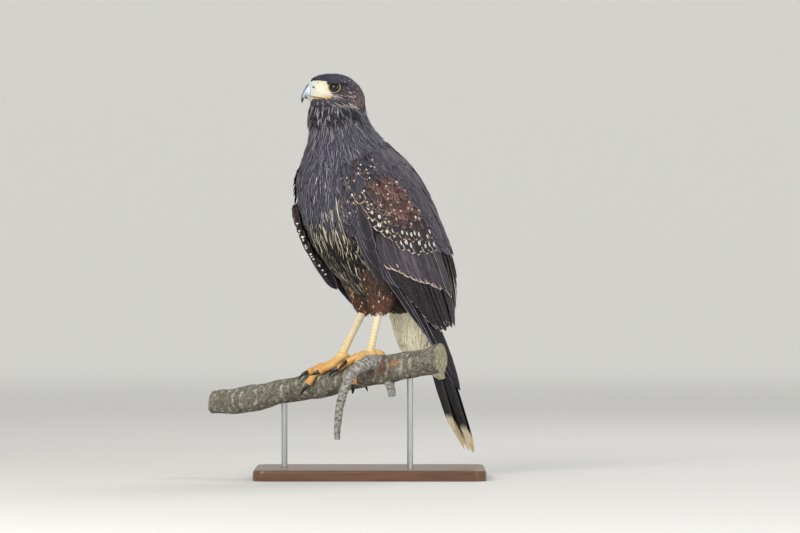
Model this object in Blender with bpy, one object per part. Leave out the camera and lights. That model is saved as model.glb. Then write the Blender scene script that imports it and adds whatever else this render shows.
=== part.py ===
"""A Harris's hawk on a short length of branch, held on a flat base by two rods: a still display model.

Sizes are millimetres, turned to metres where a mesh is made. The bird has a frame of its own, which runs
forward, left and up from the middle of the base. Its head is turned in a second frame.
"""

import bmesh
import bpy
import numpy as np

MM = 0.001
GAP = 0.3

BODY_YAW = np.radians(35.0)
HEAD_YAW = np.radians(8.0)
HEAD_AT = (-41.6, -29.0, 502.0)

# Down the trunk: share of its length, centre forward and up, depth to breast and to back, half width.
TRUNK = np.array([
    [0.00, 54, 494, 24, 24, 23],
    [0.08, 52, 475, 34, 34, 33],
    [0.17, 47, 452, 41.5, 41, 41],
    [0.27, 40, 428, 58, 50, 54],
    [0.40, 29, 396, 78, 63, 68],
    [0.54, 10, 360, 86, 76, 73],
    [0.68, -9, 322, 82, 82, 73],
    [0.80, -24, 288, 68, 78, 66],
    [0.90, -40, 256, 50, 64, 53],
    [0.97, -54, 230, 29, 44, 38],
    [1.00, -64, 212, 10, 24, 20],
])
NECK_FROM = 0.27

# The same columns for the surface that the folded wings lie on, which runs on past the trunk to their tips.
WING = np.array([
    [0.30, 38, 420, 66, 56, 60],
    [0.40, 29, 396, 79, 64, 69],
    [0.54, 10, 360, 87, 77, 74],
    [0.68, -9, 322, 83, 83, 74],
    [0.80, -24, 288, 69, 85, 71],
    [0.95, -46, 248, 50, 84, 62],
    [1.10, -68, 208, 36, 71, 52],
    [1.25, -92, 168, 24, 41, 40],
    [1.40, -115, 128, 14, 22, 30],
    [1.50, -128, 104, 10, 13, 26],
])

# Stations from the face to the nape: forward, top, bottom, half width, in the head's own frame.
SKULL = np.array([
    [36.2, 12.0, -13, 9],
    [33, 16, -16, 12.5],
    [27, 19, -20, 17],
    [19, 21, -23, 21],
    [8, 22, -26, 24],
    [-4, 21, -29, 25.5],
    [-15, 17, -30, 24.5],
    [-25, 9, -28, 20],
    [-31, 1, -24, 13],
    [-34, -8, -16, 4],
])
CERE_FROM = 28.5

EYE_AT = (5.4, 17.2, 3.2)
EYE_AXIS = (0.26, 0.96, 0.09)
EYE_RADIUS = 9.0
EYE_OPENING = 6.6
LID_RADIUS, LID_TUBE, LID_STEPS = 7.9, 1.8, 12
BROW_ENDS = ((22.0, 17.5, 10.4), (-7.0, 22.0, 9.8))
BROW_TUBE = 3.4

# Stations of the upper bill: top forward and up, bottom forward and up, half width.
BILL_UPPER = np.array([
    [36.6, 10.8, 36.6, -7.2, 8.2],
    [40.7, 6.6, 37.9, -6.8, 6.8],
    [43.9, 1.1, 40.7, -6.9, 5.2],
    [46.3, -4.0, 42.6, -8.6, 3.8],
    [47.6, -9.2, 44.2, -11.2, 2.5],
    [47.5, -13.1, 45.5, -14.1, 1.4],
    [46.6, -16.4, 46.3, -16.2, 0.4],
])
BILL_LOWER = np.array([
    [36.6, -8.0, 36.6, -12.0, 6.4],
    [39.0, -7.6, 38.7, -11.2, 4.4],
    [41.2, -7.5, 41.0, -10.2, 2.6],
    [42.4, -8.2, 42.5, -9.4, 1.0],
])
NOSTRIL_AT = (33.2, 11.0, 4.6)
MOUTH_LINE = ((38.0, -7.6), (30.0, -9.0), (20.0, -11.2), (11.0, -12.4))

TAIL_ROOT, TAIL_TIP = (-62.0, 283.0), (-159.0, 28.0)

# Each leg: hip and knee in the bird's frame, and the ball of the foot in the base's.
LEGS = {
    "left": {"hip": (-2, 34, 300), "knee": (2.6, 26, 216), "ball": (0.5, -19.5, 164.0)},
    "right": {"hip": (-6, -34, 300), "knee": (-10.0, -25, 216), "ball": (-36.0, -3.5, 161.5)},
}
THIGH_RADII = ((46, 26), (40, 25), (32, 21), (22, 16), (13, 11.5))
TARSUS_RADII = (6.0, 5.0, 4.7, 5.6)

# The perch's centre line across the front of the base: across, up, radius. It runs nearer to the right.
PERCH = np.array([
    [-206, 96, 16.2],
    [-160, 101, 17.0],
    [-112, 112, 16.6],
    [-54, 124, 17.6],
    [-2, 138, 18.6],
    [42, 146, 18.0],
    [92, 157, 19.0],
])
PERCH_TURN = np.tan(np.radians(25.0))
PERCH_FRONT, PERCH_MIDDLE = -12.0, -17.0

# The twig springs from the branch's upper front and hangs: a place and a radius at each bend.
TWIG = np.array([
    [12, -32, 149, 11.0],
    [0, -42, 151, 10.0],
    [-10, -49, 147, 8.5],
    [-19, -53, 141, 7.0],
    [-27, -55, 129, 6.2],
    [-34, -55, 113, 5.8],
    [-38, -53, 97, 5.4],
    [-41, -51, 77, 4.8],
    [-42, -50, 52, 3.6],
])
STUB = np.array([[20, -32, 134, 6.5], [27, -36, 118, 5.5], [29, -37, 107, 4.6]])

BASE_SIZE = (300.0, 200.0, 14.0)
ROD_RADIUS = 4.0
ROD_X = (-112.0, 52.0)
ROD_SINK = 8.0


def spline(knots, values, x):
    """A smooth curve through the knots, whose slope at each is weighted from the stretches beside it."""
    k = np.asarray(knots, float)
    v = np.asarray(values, float)
    x = np.asarray(x, float)
    steps = np.diff(k)
    slopes = np.diff(v, axis=0) / steps[:, None]
    at_knot = np.empty_like(v)
    at_knot[0], at_knot[-1] = slopes[0], slopes[-1]
    weight = steps[:-1, None] / (steps[:-1] + steps[1:])[:, None]
    at_knot[1:-1] = slopes[:-1] * (1 - weight) + slopes[1:] * weight
    i = np.clip(np.searchsorted(k, x, side="right") - 1, 0, len(k) - 2)
    h = steps[i][..., None]
    u = (x - k[i])[..., None] / h
    return (
        (2 * u**3 - 3 * u**2 + 1) * v[i]
        + (u**3 - 2 * u**2 + u) * h * at_knot[i]
        + (-2 * u**3 + 3 * u**2) * v[i + 1]
        + (u**3 - u**2) * h * at_knot[i + 1]
    )


def to_world(points, yaw=BODY_YAW, at=(0, 0, 0)):
    """Points given forward, left and up, turned about the vertical and set at a place."""
    f, l, z = np.moveaxis(np.asarray(points, float), -1, 0)
    x = -f * np.cos(yaw) + l * np.sin(yaw) + at[0]
    y = -f * np.sin(yaw) - l * np.cos(yaw) + at[1]
    return np.stack([x, y, z + at[2]], -1)


def head_to_world(points):
    return to_world(points, HEAD_YAW, HEAD_AT)


def trunk(t, angle, height=0.0, table=TRUNK):
    """A point of the trunk: t runs down it, the angle from the breast by the left side to the back."""
    t, angle, height = np.broadcast_arrays(
        np.asarray(t, float), np.asarray(angle, float), np.asarray(height, float)
    )
    k = table[:, 0]
    step = 1e-3
    centre = spline(k, table[:, 1:3], t)
    ahead = spline(k, table[:, 1:3], np.clip(t + step, k[0], k[-1]))
    behind = spline(k, table[:, 1:3], np.clip(t - step, k[0], k[-1]))
    along = ahead - behind
    along /= np.linalg.norm(along, axis=-1, keepdims=True)
    radii = spline(k, table[:, 3:6], t)
    depth = np.where(np.cos(angle) > 0, radii[..., 0], radii[..., 1]) + height
    f = centre[..., 0] - along[..., 1] * depth * np.cos(angle)
    z = centre[..., 1] + along[..., 0] * depth * np.cos(angle)
    return np.stack([f, (radii[..., 2] + height) * np.sin(angle), z], -1)


def skull(u, angle, height=0.0):
    """A point of the head: u runs from face to nape, the angle from the crown by the left side."""
    u, angle = np.broadcast_arrays(np.asarray(u, float), np.asarray(angle, float))
    rows = spline(np.linspace(0, 1, len(SKULL)), SKULL, u)
    middle = (rows[..., 1] + rows[..., 2]) / 2
    half = (rows[..., 1] - rows[..., 2]) / 2 + height
    across = (rows[..., 3] + height) * np.sin(angle)
    return np.stack([rows[..., 0], across, middle + half * np.cos(angle)], -1)


def add_mesh(name, points, faces):
    mesh = bpy.data.meshes.new(name)
    mesh.from_pydata((np.reshape(points, (-1, 3)) * MM).tolist(), [], faces)
    shape = bmesh.new()
    shape.from_mesh(mesh)
    bmesh.ops.recalc_face_normals(shape, faces=shape.faces)
    bmesh.ops.triangulate(shape, faces=[f for f in shape.faces if len(f.verts) > 4])
    shape.to_mesh(mesh)
    shape.free()
    obj = bpy.data.objects.new(name, mesh)
    bpy.context.scene.collection.objects.link(obj)
    return obj


def loft(name, rings):
    """A closed skin over rings of points, with a flat cap at either end."""
    count, around = rings.shape[:2]
    faces = []
    for i in range(count - 1):
        for j in range(around):
            k = (j + 1) % around
            a, b = i * around, (i + 1) * around
            faces += [(a + j, a + k, b + k), (a + j, b + k, b + j)]
    faces.append(tuple(range(around))[::-1])
    faces.append(tuple(range((count - 1) * around, count * around)))
    return add_mesh(name, rings, faces)


def plate(name, outer, inner):
    """A thin closed plate between two grids of points, cut into triangles alike on both faces."""
    rows, columns = outer.shape[:2]
    under = rows * columns
    faces = []
    for i in range(rows - 1):
        for j in range(columns - 1):
            a, b = i * columns + j, (i + 1) * columns + j
            faces += [(a, a + 1, b + 1), (a, b + 1, b)]
            faces += [(under + a, under + b + 1, under + a + 1), (under + a, under + b, under + b + 1)]
    rim = [j for j in range(columns)]
    rim += [i * columns + columns - 1 for i in range(1, rows)]
    rim += [(rows - 1) * columns + j for j in range(columns - 2, -1, -1)]
    rim += [i * columns for i in range(rows - 2, 0, -1)]
    for a, b in zip(rim, rim[1:] + rim[:1]):
        faces += [(a, under + a, under + b), (a, under + b, b)]
    return add_mesh(name, np.concatenate([outer.reshape(-1, 3), inner.reshape(-1, 3)]), faces)


def frames_along(path):
    """Unit steps along a path of points, with two directions across each."""
    along = np.gradient(path, axis=0)
    along /= np.linalg.norm(along, axis=1, keepdims=True)
    guide = np.array([0.31, 0.22, 0.93]) if abs(along[:, 2]).mean() < 0.7 else np.array([0.87, 0.48, 0.1])
    side = np.cross(along, guide)
    side /= np.linalg.norm(side, axis=1, keepdims=True)
    return along, side, np.cross(side, along)


def tube(name, path, radii, around=10, flat=1.0):
    """A round bar along a path of points, whose radius changes from one point to the next."""
    path = np.asarray(path, float)
    _, side, up = frames_along(path)
    angle = np.arange(around) * 2 * np.pi / around
    radii = np.asarray(radii, float)[:, None, None]
    rings = path[:, None] + radii * (
        side[:, None] * np.cos(angle)[None, :, None] + flat * up[:, None] * np.sin(angle)[None, :, None]
    )
    return loft(name, rings)


def ball(name, at, radii, across=12, rings=6):
    """A closed ellipsoid with its poles up and down, which may be turned by a matrix of directions."""
    lat = np.linspace(0, np.pi, rings + 2)[1:-1]
    lon = np.arange(across) * 2 * np.pi / across
    unit = np.stack([
        np.sin(lat)[:, None] * np.cos(lon),
        np.sin(lat)[:, None] * np.sin(lon),
        np.cos(lat)[:, None] * np.ones(across),
    ], -1)
    return loft(name, np.asarray(at, float) + unit * np.asarray(radii, float))


def bake(obj):
    """Keeps what the modifiers give, and takes them off."""
    graph = bpy.context.evaluated_depsgraph_get()
    mesh = bpy.data.meshes.new_from_object(obj.evaluated_get(graph))
    obj.modifiers.clear()
    obj.data = mesh
    return obj


def keep_largest(obj):
    """Leaves the closed surface with the most faces' area, and drops the rest."""
    shape = bmesh.new()
    shape.from_mesh(obj.data)
    bmesh.ops.remove_doubles(shape, verts=shape.verts, dist=1e-6)
    left = set(shape.faces)
    best, best_area = set(), 0.0
    while left:
        stack = [left.pop()]
        found = set(stack)
        while stack:
            face = stack.pop()
            for edge in face.edges:
                for other in edge.link_faces:
                    if other in left:
                        left.discard(other)
                        found.add(other)
                        stack.append(other)
        area = sum(f.calc_area() for f in found)
        if area > best_area:
            best, best_area = found, area
    bmesh.ops.delete(shape, geom=[f for f in shape.faces if f not in best], context="FACES")
    shape.to_mesh(obj.data)
    shape.free()
    return obj


def boolean(obj, others, operation, solver="EXACT"):
    """Joins the others to the object, or cuts them from it, and removes them."""
    group = bpy.data.collections.new("pieces")
    bpy.context.scene.collection.children.link(group)
    for other in others:
        bpy.context.scene.collection.objects.unlink(other)
        group.objects.link(other)
    modifier = obj.modifiers.new("join", "BOOLEAN")
    modifier.operation = operation
    modifier.operand_type = "COLLECTION"
    modifier.collection = group
    modifier.solver = solver
    bake(obj)
    for other in others:
        bpy.data.objects.remove(other)
    bpy.data.collections.remove(group)
    return keep_largest(obj)


def grown(obj, by=GAP):
    """A copy whose points stand out along their normals, to cut a neighbour clear."""
    copy = obj.copy()
    copy.data = obj.data.copy()
    bpy.context.scene.collection.objects.link(copy)
    shape = bmesh.new()
    shape.from_mesh(copy.data)
    bmesh.ops.recalc_face_normals(shape, faces=shape.faces)
    shape.normal_update()
    places = [v.co + v.normal * by * MM * min(v.calc_shell_factor(), 2.0) for v in shape.verts]
    for vertex, place in zip(shape.verts, places):
        vertex.co = place
    shape.to_mesh(copy.data)
    shape.free()
    return copy


def clear_of(obj, neighbours, by=GAP):
    for neighbour in neighbours:
        boolean(obj, [grown(neighbour, by)], "DIFFERENCE", "MANIFOLD")
    return obj


def half(obj, point, normal):
    """A copy of what lies behind a plane, its cut closed flat."""
    copy = obj.copy()
    copy.data = obj.data.copy()
    bpy.context.scene.collection.objects.link(copy)
    shape = bmesh.new()
    shape.from_mesh(copy.data)
    geom = shape.verts[:] + shape.edges[:] + shape.faces[:]
    bmesh.ops.bisect_plane(
        shape, geom=geom, dist=1e-7, plane_co=np.asarray(point) * MM, plane_no=normal, clear_outer=True
    )
    rim = [e for e in shape.edges if e.is_boundary]
    filled = bmesh.ops.contextual_create(shape, geom=rim)
    bmesh.ops.triangulate(shape, faces=filled["faces"])
    bmesh.ops.recalc_face_normals(shape, faces=shape.faces)
    shape.to_mesh(copy.data)
    shape.free()
    return copy


def finish(obj, name, colour, roughness, metallic=0.0):
    obj.name = name
    obj.data.name = name
    obj.data.materials.clear()
    material = bpy.data.materials.new(name)
    material.use_nodes = True
    shader = material.node_tree.nodes["Principled BSDF"]
    shader.inputs["Base Color"].default_value = (*colour, 1.0)
    shader.inputs["Roughness"].default_value = roughness
    shader.inputs["Metallic"].default_value = metallic
    obj.data.materials.append(material)
    obj.data.shade_smooth()
    obj.data.set_sharp_from_angle(angle=np.radians(40))
    return obj


PLUMAGE = (0.05, 0.042, 0.045)
CHESTNUT = (0.19, 0.055, 0.03)
CREAM = (0.66, 0.55, 0.35)
YELLOW = (0.83, 0.55, 0.22)
BARE_SKIN = (0.85, 0.78, 0.55)
HORN = (0.03, 0.03, 0.035)
BARK = (0.18, 0.15, 0.12)


def make_trunk_and_head():
    """Head and trunk are one form, parted by thin cuts at the lores, the throat and the neck."""
    angle = np.arange(26) * 2 * np.pi / 26
    t = np.concatenate([np.linspace(0, NECK_FROM, 7)[:-1], np.linspace(NECK_FROM, 1, 17)])
    body = loft("body", to_world(trunk(t[:, None], angle[None])))
    around = np.arange(20) * 2 * np.pi / 20
    u = np.concatenate([np.linspace(0, 0.9, 12), [0.95, 1.0]])
    head = loft("head", head_to_world(skull(u[:, None], around[None])))
    whole = boolean(head, [body], "UNION")

    forward = to_world((1, 0, 0)) - to_world((0, 0, 0))
    centre = spline(TRUNK[:, 0], TRUNK[:, 1:3], np.array([NECK_FROM - 0.01, NECK_FROM, NECK_FROM + 0.01]))
    down = (centre[2] - centre[0]) / np.linalg.norm(centre[2] - centre[0])
    neck_cut = to_world((centre[1][0], 0, centre[1][1]))
    down = forward * down[0] + np.array([0, 0, down[1]])
    throat_cut = to_world((50, 0, 474.5))
    up = forward * 0.22 + np.array([0, 0, 0.976])

    torso = half(whole, neck_cut + down * GAP, -down)
    neck = half(whole, neck_cut, down)
    neck_top = half(neck, throat_cut - up * GAP, up)
    top = half(whole, throat_cut, -up)
    for leftover in (whole, neck):
        bpy.data.objects.remove(leftover)

    face = head_to_world((CERE_FROM, 0, 0))
    ahead = head_to_world((1, 0, 0)) - head_to_world((0, 0, 0))
    cere = half(top, face + ahead * GAP, -ahead)
    skull_part = half(top, face, ahead)
    bpy.data.objects.remove(top)
    return skull_part, cere, neck_top, torso


def eye_frame(side):
    axis = np.array(EYE_AXIS) * (1, side, 1)
    axis /= np.linalg.norm(axis)
    across = np.cross(axis, (0, 0, 1))
    across /= np.linalg.norm(across)
    return np.array(EYE_AT) * (1, side, 1), axis, across, np.cross(across, axis)


def ring_round(centre, across, up, radius, count=LID_STEPS):
    turn = np.arange(count) * 2 * np.pi / count
    return centre + radius * (np.cos(turn)[:, None] * across + np.sin(turn)[:, None] * up)


def make_head_details(head, cere):
    """Brows, lids and sockets on the head, nostrils in the cere, and the line of the mouth through both."""
    added = []
    cutters = []
    eyes = {}
    for name, side in (("left", 1), ("right", -1)):
        centre, axis, across, up = eye_frame(side)
        lid_centre = centre + axis * 6.4
        turn = np.arange(LID_STEPS) * 2 * np.pi / LID_STEPS
        tube_turn = np.arange(5) * 2 * np.pi / 5
        radial = np.cos(turn)[:, None] * across + np.sin(turn)[:, None] * up
        lid = (
            lid_centre
            + (LID_RADIUS + LID_TUBE * np.cos(tube_turn)[None, :, None]) * radial[:, None]
            + LID_TUBE * np.sin(tube_turn)[None, :, None] * axis
        )
        faces = []
        for i in range(LID_STEPS):
            for j in range(5):
                a, b = i * 5, (i + 1) % LID_STEPS * 5
                k = (j + 1) % 5
                faces += [(a + j, b + j, b + k), (a + j, b + k, a + k)]
        added.append(add_mesh("lid", head_to_world(lid), faces))
        ends = np.array(BROW_ENDS) * (1, side, 1)
        share = np.linspace(0, 1, 5)[:, None]
        ridge = ends[0] * (1 - share) + ends[1] * share
        ridge[:, 1] += side * 1.6 * np.sin(share[:, 0] * np.pi)
        ridge[:, 2] += 1.6 * np.sin(share[:, 0] * np.pi)
        size = BROW_TUBE * (0.35 + 0.65 * np.sin(np.pi * np.clip(share[:, 0] * 0.86 + 0.1, 0, 1)))
        added.append(tube("brow", head_to_world(ridge), size, 6))
        opening = np.stack([ring_round(centre + axis * d, across, up, r)
                            for d, r in ((-4, 3.0), (2, EYE_OPENING), (18, EYE_OPENING + 2.5))])
        cutters.append(loft("opening", head_to_world(opening)))
        rounds = [
            np.stack([
                ring_round(centre + axis * size * np.cos(a), across, up, size * np.sin(a))
                for a in np.linspace(0.1, np.pi - 0.1, 8)
            ])
            for size in (EYE_RADIUS + 2 * GAP, EYE_RADIUS)
        ]
        cutters.append(loft("socket", head_to_world(rounds[0])))
        eyes[name] = loft("eye_" + name, head_to_world(rounds[1]))
    boolean(head, added, "UNION")
    boolean(head, cutters, "DIFFERENCE")

    line = np.array(MOUTH_LINE)
    for side in (1, -1):
        for target in (head, cere):
            rows = spline(SKULL[::-1, 0], SKULL[::-1, 3:4], line[:, 0])[:, 0]
            outer = np.stack([line[:, 0], side * (rows + 8), line[:, 1] - 0.5], -1)
            deep = np.stack([line[:, 0], side * (rows * 0.9 - 2.6), line[:, 1]], -1)
            wide = np.array([0, 0, 0.55])
            rings = np.stack(
                [outer + wide * 1.4, deep + wide * 0.3, deep - wide * 0.3, outer - wide * 1.4], 1
            )
            boolean(target, [loft("mouth", head_to_world(rings))], "DIFFERENCE")
        at = np.array(NOSTRIL_AT) * (1, side, 1)
        slit = np.stack([at + (2.0, side * -3.0, 1.6), at + (0.0, 0.0, 0.0), at + (-1.6, side * 3.0, -1.4)])
        hole = tube("nostril", head_to_world(slit), (1.1, 1.3, 1.5), 8)
        boolean(cere, [hole], "DIFFERENCE")
    return eyes


def bill_part(name, stations, around=12, steps=8):
    """Rings that lean with the curve of the bill, each an oval from its top edge to its bottom edge."""
    share = np.linspace(0, 1, len(stations))
    rows = spline(share, stations, np.linspace(0, 1, steps))
    angle = np.arange(around) * 2 * np.pi / around
    top = np.stack([rows[:, 0], np.zeros(steps), rows[:, 1]], -1)
    low = np.stack([rows[:, 2], np.zeros(steps), rows[:, 3]], -1)
    middle, reach = (top + low) / 2, (top - low) / 2
    rings = middle[:, None] + reach[:, None] * np.cos(angle)[None, :, None]
    rings[..., 1] += rows[:, 4:5] * np.sin(angle)
    return loft(name, head_to_world(rings))


def wing_front(t):
    """The angle at which the folded wing's front edge lies."""
    return np.radians(np.interp(t, (0.3, 0.5, 0.8, 0.9, 1.0), (58, 47, 47, 56, 62)))


def wing_back(t):
    return np.radians(np.interp(t, (0.3, 0.45, 0.65, 0.75), (92, 142, 164, 164)))


def pod_height(t, angle):
    """How far the wing's fleshy part stands out: most at the wrist and front edge, little at the back."""
    front = np.interp(t, (0.3, 0.42, 0.6, 0.75), (2.0, 7.5, 7.5, 5.0))
    back = np.interp(t, (0.3, 0.45, 0.75), (0.8, 2.0, 3.0))
    share = np.clip((np.degrees(angle) - 92) / 30, 0, 1)
    edge = np.clip((66 - np.degrees(angle)) / 16, 0, 1) * np.interp(t, (0.4, 0.6, 0.75), (0, 5, 6))
    return front + (back - front) * share + edge


def wing_pod(name, side):
    t = np.linspace(0.31, 0.74, 7)
    share = np.linspace(0, 1, 7)
    front, back = wing_front(t), wing_back(t)
    angle = front[:, None] + (back - front)[:, None] * share
    tt = np.broadcast_to(t[:, None], angle.shape)
    height = pod_height(tt, angle)
    outer = trunk(tt, angle, height, WING)
    inner = trunk(tt, angle, np.maximum(height - 9.0, -3.0) - 3.0 * (tt < 0.45), WING)
    flip = np.array([1, side, 1])
    return plate(name, to_world(outer * flip), to_world(inner * flip))


def vane(spine, up, widths, tilt, curve, side=1, thick=0.32):
    """A feather: a thin plate along a spine, tapered to its tip, tilted as a shingle and perhaps arched."""
    along = np.gradient(spine, axis=0)
    across = np.cross(up, along)
    across /= np.linalg.norm(across, axis=1, keepdims=True)
    x = widths[:, None] * (np.array([-1.0, 0.0, 1.0]) if curve else np.array([-1.0, 1.0]))
    rise = -tilt * x - (x**2 / (2 * curve) if curve else 0.0)
    middle = spine[:, None] + across[:, None] * x[..., None] + up[:, None] * rise[..., None]
    half_thick = thick * up[:, None]
    flip = np.array([1, side, 1])
    return plate("vane", to_world((middle + half_thick) * flip), to_world((middle - half_thick) * flip))


VANE_SHAPES = {
    5: ((0.0, 0.35, 0.66, 0.88, 1.0), (0.75, 1.0, 1.0, 0.8, 0.28)),
    4: ((0.0, 0.45, 0.82, 1.0), (0.8, 1.0, 0.82, 0.3)),
}


def wing_vane(root, tip, heights, width, tilt, side, rings, bow=0.0):
    """A feather of the folded wing, from its root to its tip, each a share down the body and an angle."""
    share, shape = (np.array(row) for row in VANE_SHAPES[rings])
    t = root[0] + (tip[0] - root[0]) * share
    angle = np.radians(root[1] + (tip[1] - root[1]) * share + bow * np.sin(share * np.pi))
    height = heights[0] + (heights[1] - heights[0]) * share**0.7
    spine = trunk(t, angle, height, WING)
    up = trunk(t, angle, height + 1.0, WING) - spine
    up /= np.linalg.norm(up, axis=1, keepdims=True)
    return vane(spine, up, width * shape, tilt, 0.0, side)


# The wing's rows of feathers, from the lowest layer up. Each row names its first and last root, the tips in
# order from the front edge to the back, the heights of root and tip, half width, tilt and rings.
WING_ROWS = {
    "primaries": dict(
        roots=((0.70, 52), (0.70, 62)),
        tips=((1.12, 62), (1.28, 73), (1.39, 80), (1.45, 85), (1.40, 91)),
        heights=(1.5, 3.0), width=8.0, tilt=0.34, rings=4, bow=-1.5),
    "secondaries": dict(
        roots=((0.68, 62), (0.62, 104)),
        tips=((1.00, 69), (1.09, 76), (1.145, 85), (1.165, 94), (1.175, 103), (1.185, 113)),
        heights=(2.5, 5.5), width=12.0, tilt=0.19, rings=4, bow=0.0),
    "tertials": dict(
        roots=((0.62, 116), (0.60, 146)),
        tips=((1.17, 122), (1.11, 135), (1.03, 150)),
        heights=(0.5, 4.6), width=15.0, tilt=0.12, rings=4, bow=0.0),
    "primary_coverts": dict(
        roots=((0.66, 52), (0.68, 58)),
        tips=((0.86, 52), (0.89, 59)),
        heights=(4.0, 7.0), width=8.5, tilt=0.18, rings=4, bow=0.0),
    "greater_coverts": dict(
        roots=((0.63, 63), (0.70, 106)),
        tips=((0.81, 65), (0.87, 75), (0.92, 86), (0.97, 97), (1.015, 109)),
        heights=(5.0, 8.4), width=12.5, tilt=0.13, rings=4, bow=0.0),
    "median_coverts": dict(
        roots=((0.48, 61), (0.62, 106)),
        tips=((0.58, 62), (0.67, 69), (0.75, 80), (0.80, 93), (0.815, 108)),
        heights=(6.2, 10.2), width=12.5, tilt=0.11, rings=4, bow=0.0),
    "scapulars": dict(
        roots=((0.36, 106), (0.60, 148)),
        tips=((0.62, 103), (0.78, 117), (0.93, 138)),
        heights=(0.5, 6.2), width=19.0, tilt=0.10, rings=4, bow=0.0),
    "alula": dict(
        roots=((0.50, 53), (0.50, 50)),
        tips=((0.69, 50), (0.83, 45)),
        heights=(7.0, 17.0), width=9.0, tilt=0.0, rings=4, bow=0.0),
}


def raised(tip):
    """The right wing is folded higher, so its flight feathers lie nearer to the tail."""
    return tip[0], tip[1] + np.interp(tip[0], (0.9, 1.1, 1.3, 1.5), (4, 33, 24, 14)) * (150 - tip[1]) / 90


def make_wing(name, side):
    """The fleshy fore part of the folded wing with its rows of feathers, all one body."""
    vanes = []
    for row in WING_ROWS.values():
        first, last = (np.array(end, float) for end in row["roots"])
        count = len(row["tips"])
        for i, tip in enumerate(row["tips"]):
            root = first + (last - first) * i / (count - 1)
            tip = raised(tip) if side < 0 else tip
            vanes.append(wing_vane(root, tip, row["heights"], row["width"], row["tilt"], side, row["rings"],
                                   row["bow"]))
    return boolean(wing_pod(name, side), vanes, "UNION")


def tail_point(v, across, out):
    """A point by the tail: v runs from root to tip, across to the left, out to its lower side."""
    v, across, out = np.broadcast_arrays(*(np.asarray(a, float) for a in (v, across, out)))
    root, tip = np.array(TAIL_ROOT), np.array(TAIL_TIP)
    along = (tip - root) / np.linalg.norm(tip - root)
    lower = np.array([-along[1], along[0]])
    place = root + (tip - root) * v[..., None] + lower * out[..., None]
    return np.stack([place[..., 0], across, place[..., 1]], -1)


def tail_vane(start, end, width, tilt, rings, curve=40.0, dip=0.0):
    """A feather by the tail: start and end give a share along it, a place across and a place out."""
    share, shape = (np.array(row) for row in VANE_SHAPES[rings])
    v, across, out = (start[i] + (end[i] - start[i]) * share for i in range(3))
    out = out + dip * np.sin(np.pi * share)
    spine = tail_point(v, across, out)
    up = tail_point(v, across, out - 1.0) - spine
    return vane(spine, up, width * shape, tilt, curve, 1, 0.38)


def make_tail():
    """Twelve tail feathers in two piles under a middle pair, on a short core."""
    v = np.linspace(0, 0.3, 4)
    share = np.linspace(-1, 1, 5)
    across = np.interp(v, (0, 0.3), (14, 12))[:, None] * share
    thick = np.interp(v, (0, 0.3), (6.0, 4.2))[:, None] * np.sqrt(1.15 - share**2)
    core = plate("tail", to_world(tail_point(v[:, None], across, -thick + 1)),
                 to_world(tail_point(v[:, None], across, thick + 1)))
    vanes = []
    for side, shortest in ((1, 0.055), (-1, 0.11)):
        for k in range(5):
            away = 10.6 + 0.7 * k
            out = -1.6 + 1.25 * k
            length = 1.0 - shortest * (k + 1) / 5
            vanes.append(tail_vane((0.12, side * 9.0, out), (length, side * away, out), 10.2, 0.0, 4))
        out = -2.9 - 1.25 * (side < 0)
        end = (1.0 - 0.01 * (side < 0), side * 5.0, out)
        vanes.append(tail_vane((0.12, side * 3.0, out), end, 11.0, 0.0, 4))
    return boolean(core, vanes, "UNION")


def undertail_size(v):
    """The soft cone under the tail: half width, and depth below the tail's centre line."""
    return np.interp(v, (0, 0.15, 0.35, 0.45, 0.6), (30, 34, 32, 24, 6)), np.interp(
        v, (-0.02, 0.15, 0.35, 0.45, 0.52, 0.6), (38, 48, 52, 47, 32, 9)
    )


def make_undertail():
    """Loose feathers in tiers over a core that reaches half way to their tips."""
    v = np.linspace(-0.02, 0.36, 5)
    share = np.linspace(-1, 1, 7)
    width, depth = undertail_size(v)
    across = (width - 2)[:, None] * share
    low = (depth - 4)[:, None] * np.sqrt(1.1 - share**2)
    core = plate("undertail", to_world(tail_point(v[:, None], across, low)),
                 to_world(tail_point(v[:, None], across, np.full_like(across, 6.4))))
    vanes = []
    for tip, places in ((0.47, (-0.74, 0.0, 0.74)), (0.58, (-0.4, 0.4))):
        for place in places:
            root, end = undertail_size(0.24), undertail_size(tip)
            bulge = np.sqrt(1.1 - place**2)
            start = (0.24, place * (root[0] - 6), bulge * root[1] - 8.0)
            end = (tip, place * end[0], bulge * end[1])
            vanes.append(tail_vane(start, end, 11.0, 0.0, 4, -30.0, 3.0))
    return boolean(core, vanes, "UNION")


def perch_centre(x):
    rows = spline(PERCH[:, 0], PERCH[:, 1:], x)
    y = PERCH_FRONT - (x - PERCH_MIDDLE) * PERCH_TURN
    return np.stack([x, y, rows[..., 0]], -1), rows[..., 1]


def perch_point(x, angle, out):
    """A point near the perch: the angle runs from its top to its front, out from its bark."""
    x, angle, out = np.broadcast_arrays(*(np.asarray(a, float) for a in (x, angle, out)))
    centre, radius = perch_centre(x)
    front = np.array([-np.sin(np.arctan(PERCH_TURN)), -np.cos(np.arctan(PERCH_TURN)), 0])
    up = np.array([0, 0, 1.0])
    reach = (radius + out)[..., None]
    return centre + reach * (np.cos(angle)[..., None] * up + np.sin(angle)[..., None] * front)


def make_branch(out=0.0):
    """The branch with its low bumps and a knot, or the same a little larger all round."""
    x = np.linspace(PERCH[0, 0], PERCH[-1, 0], 24)
    angle = np.arange(13) * 2 * np.pi / 13
    xx, aa = np.meshgrid(x, angle, indexing="ij")
    bumps = 0.9 * np.sin(xx * 0.071 + 2 * aa) + 0.7 * np.sin(xx * 0.153 - 3 * aa + 1.0)
    knots = 3.2 * np.exp(-(((xx - 2) / 15) ** 2) - ((aa - 1.5) / 0.8) ** 2)
    return loft("perch", perch_point(xx, aa, bumps + knots + out))


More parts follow.
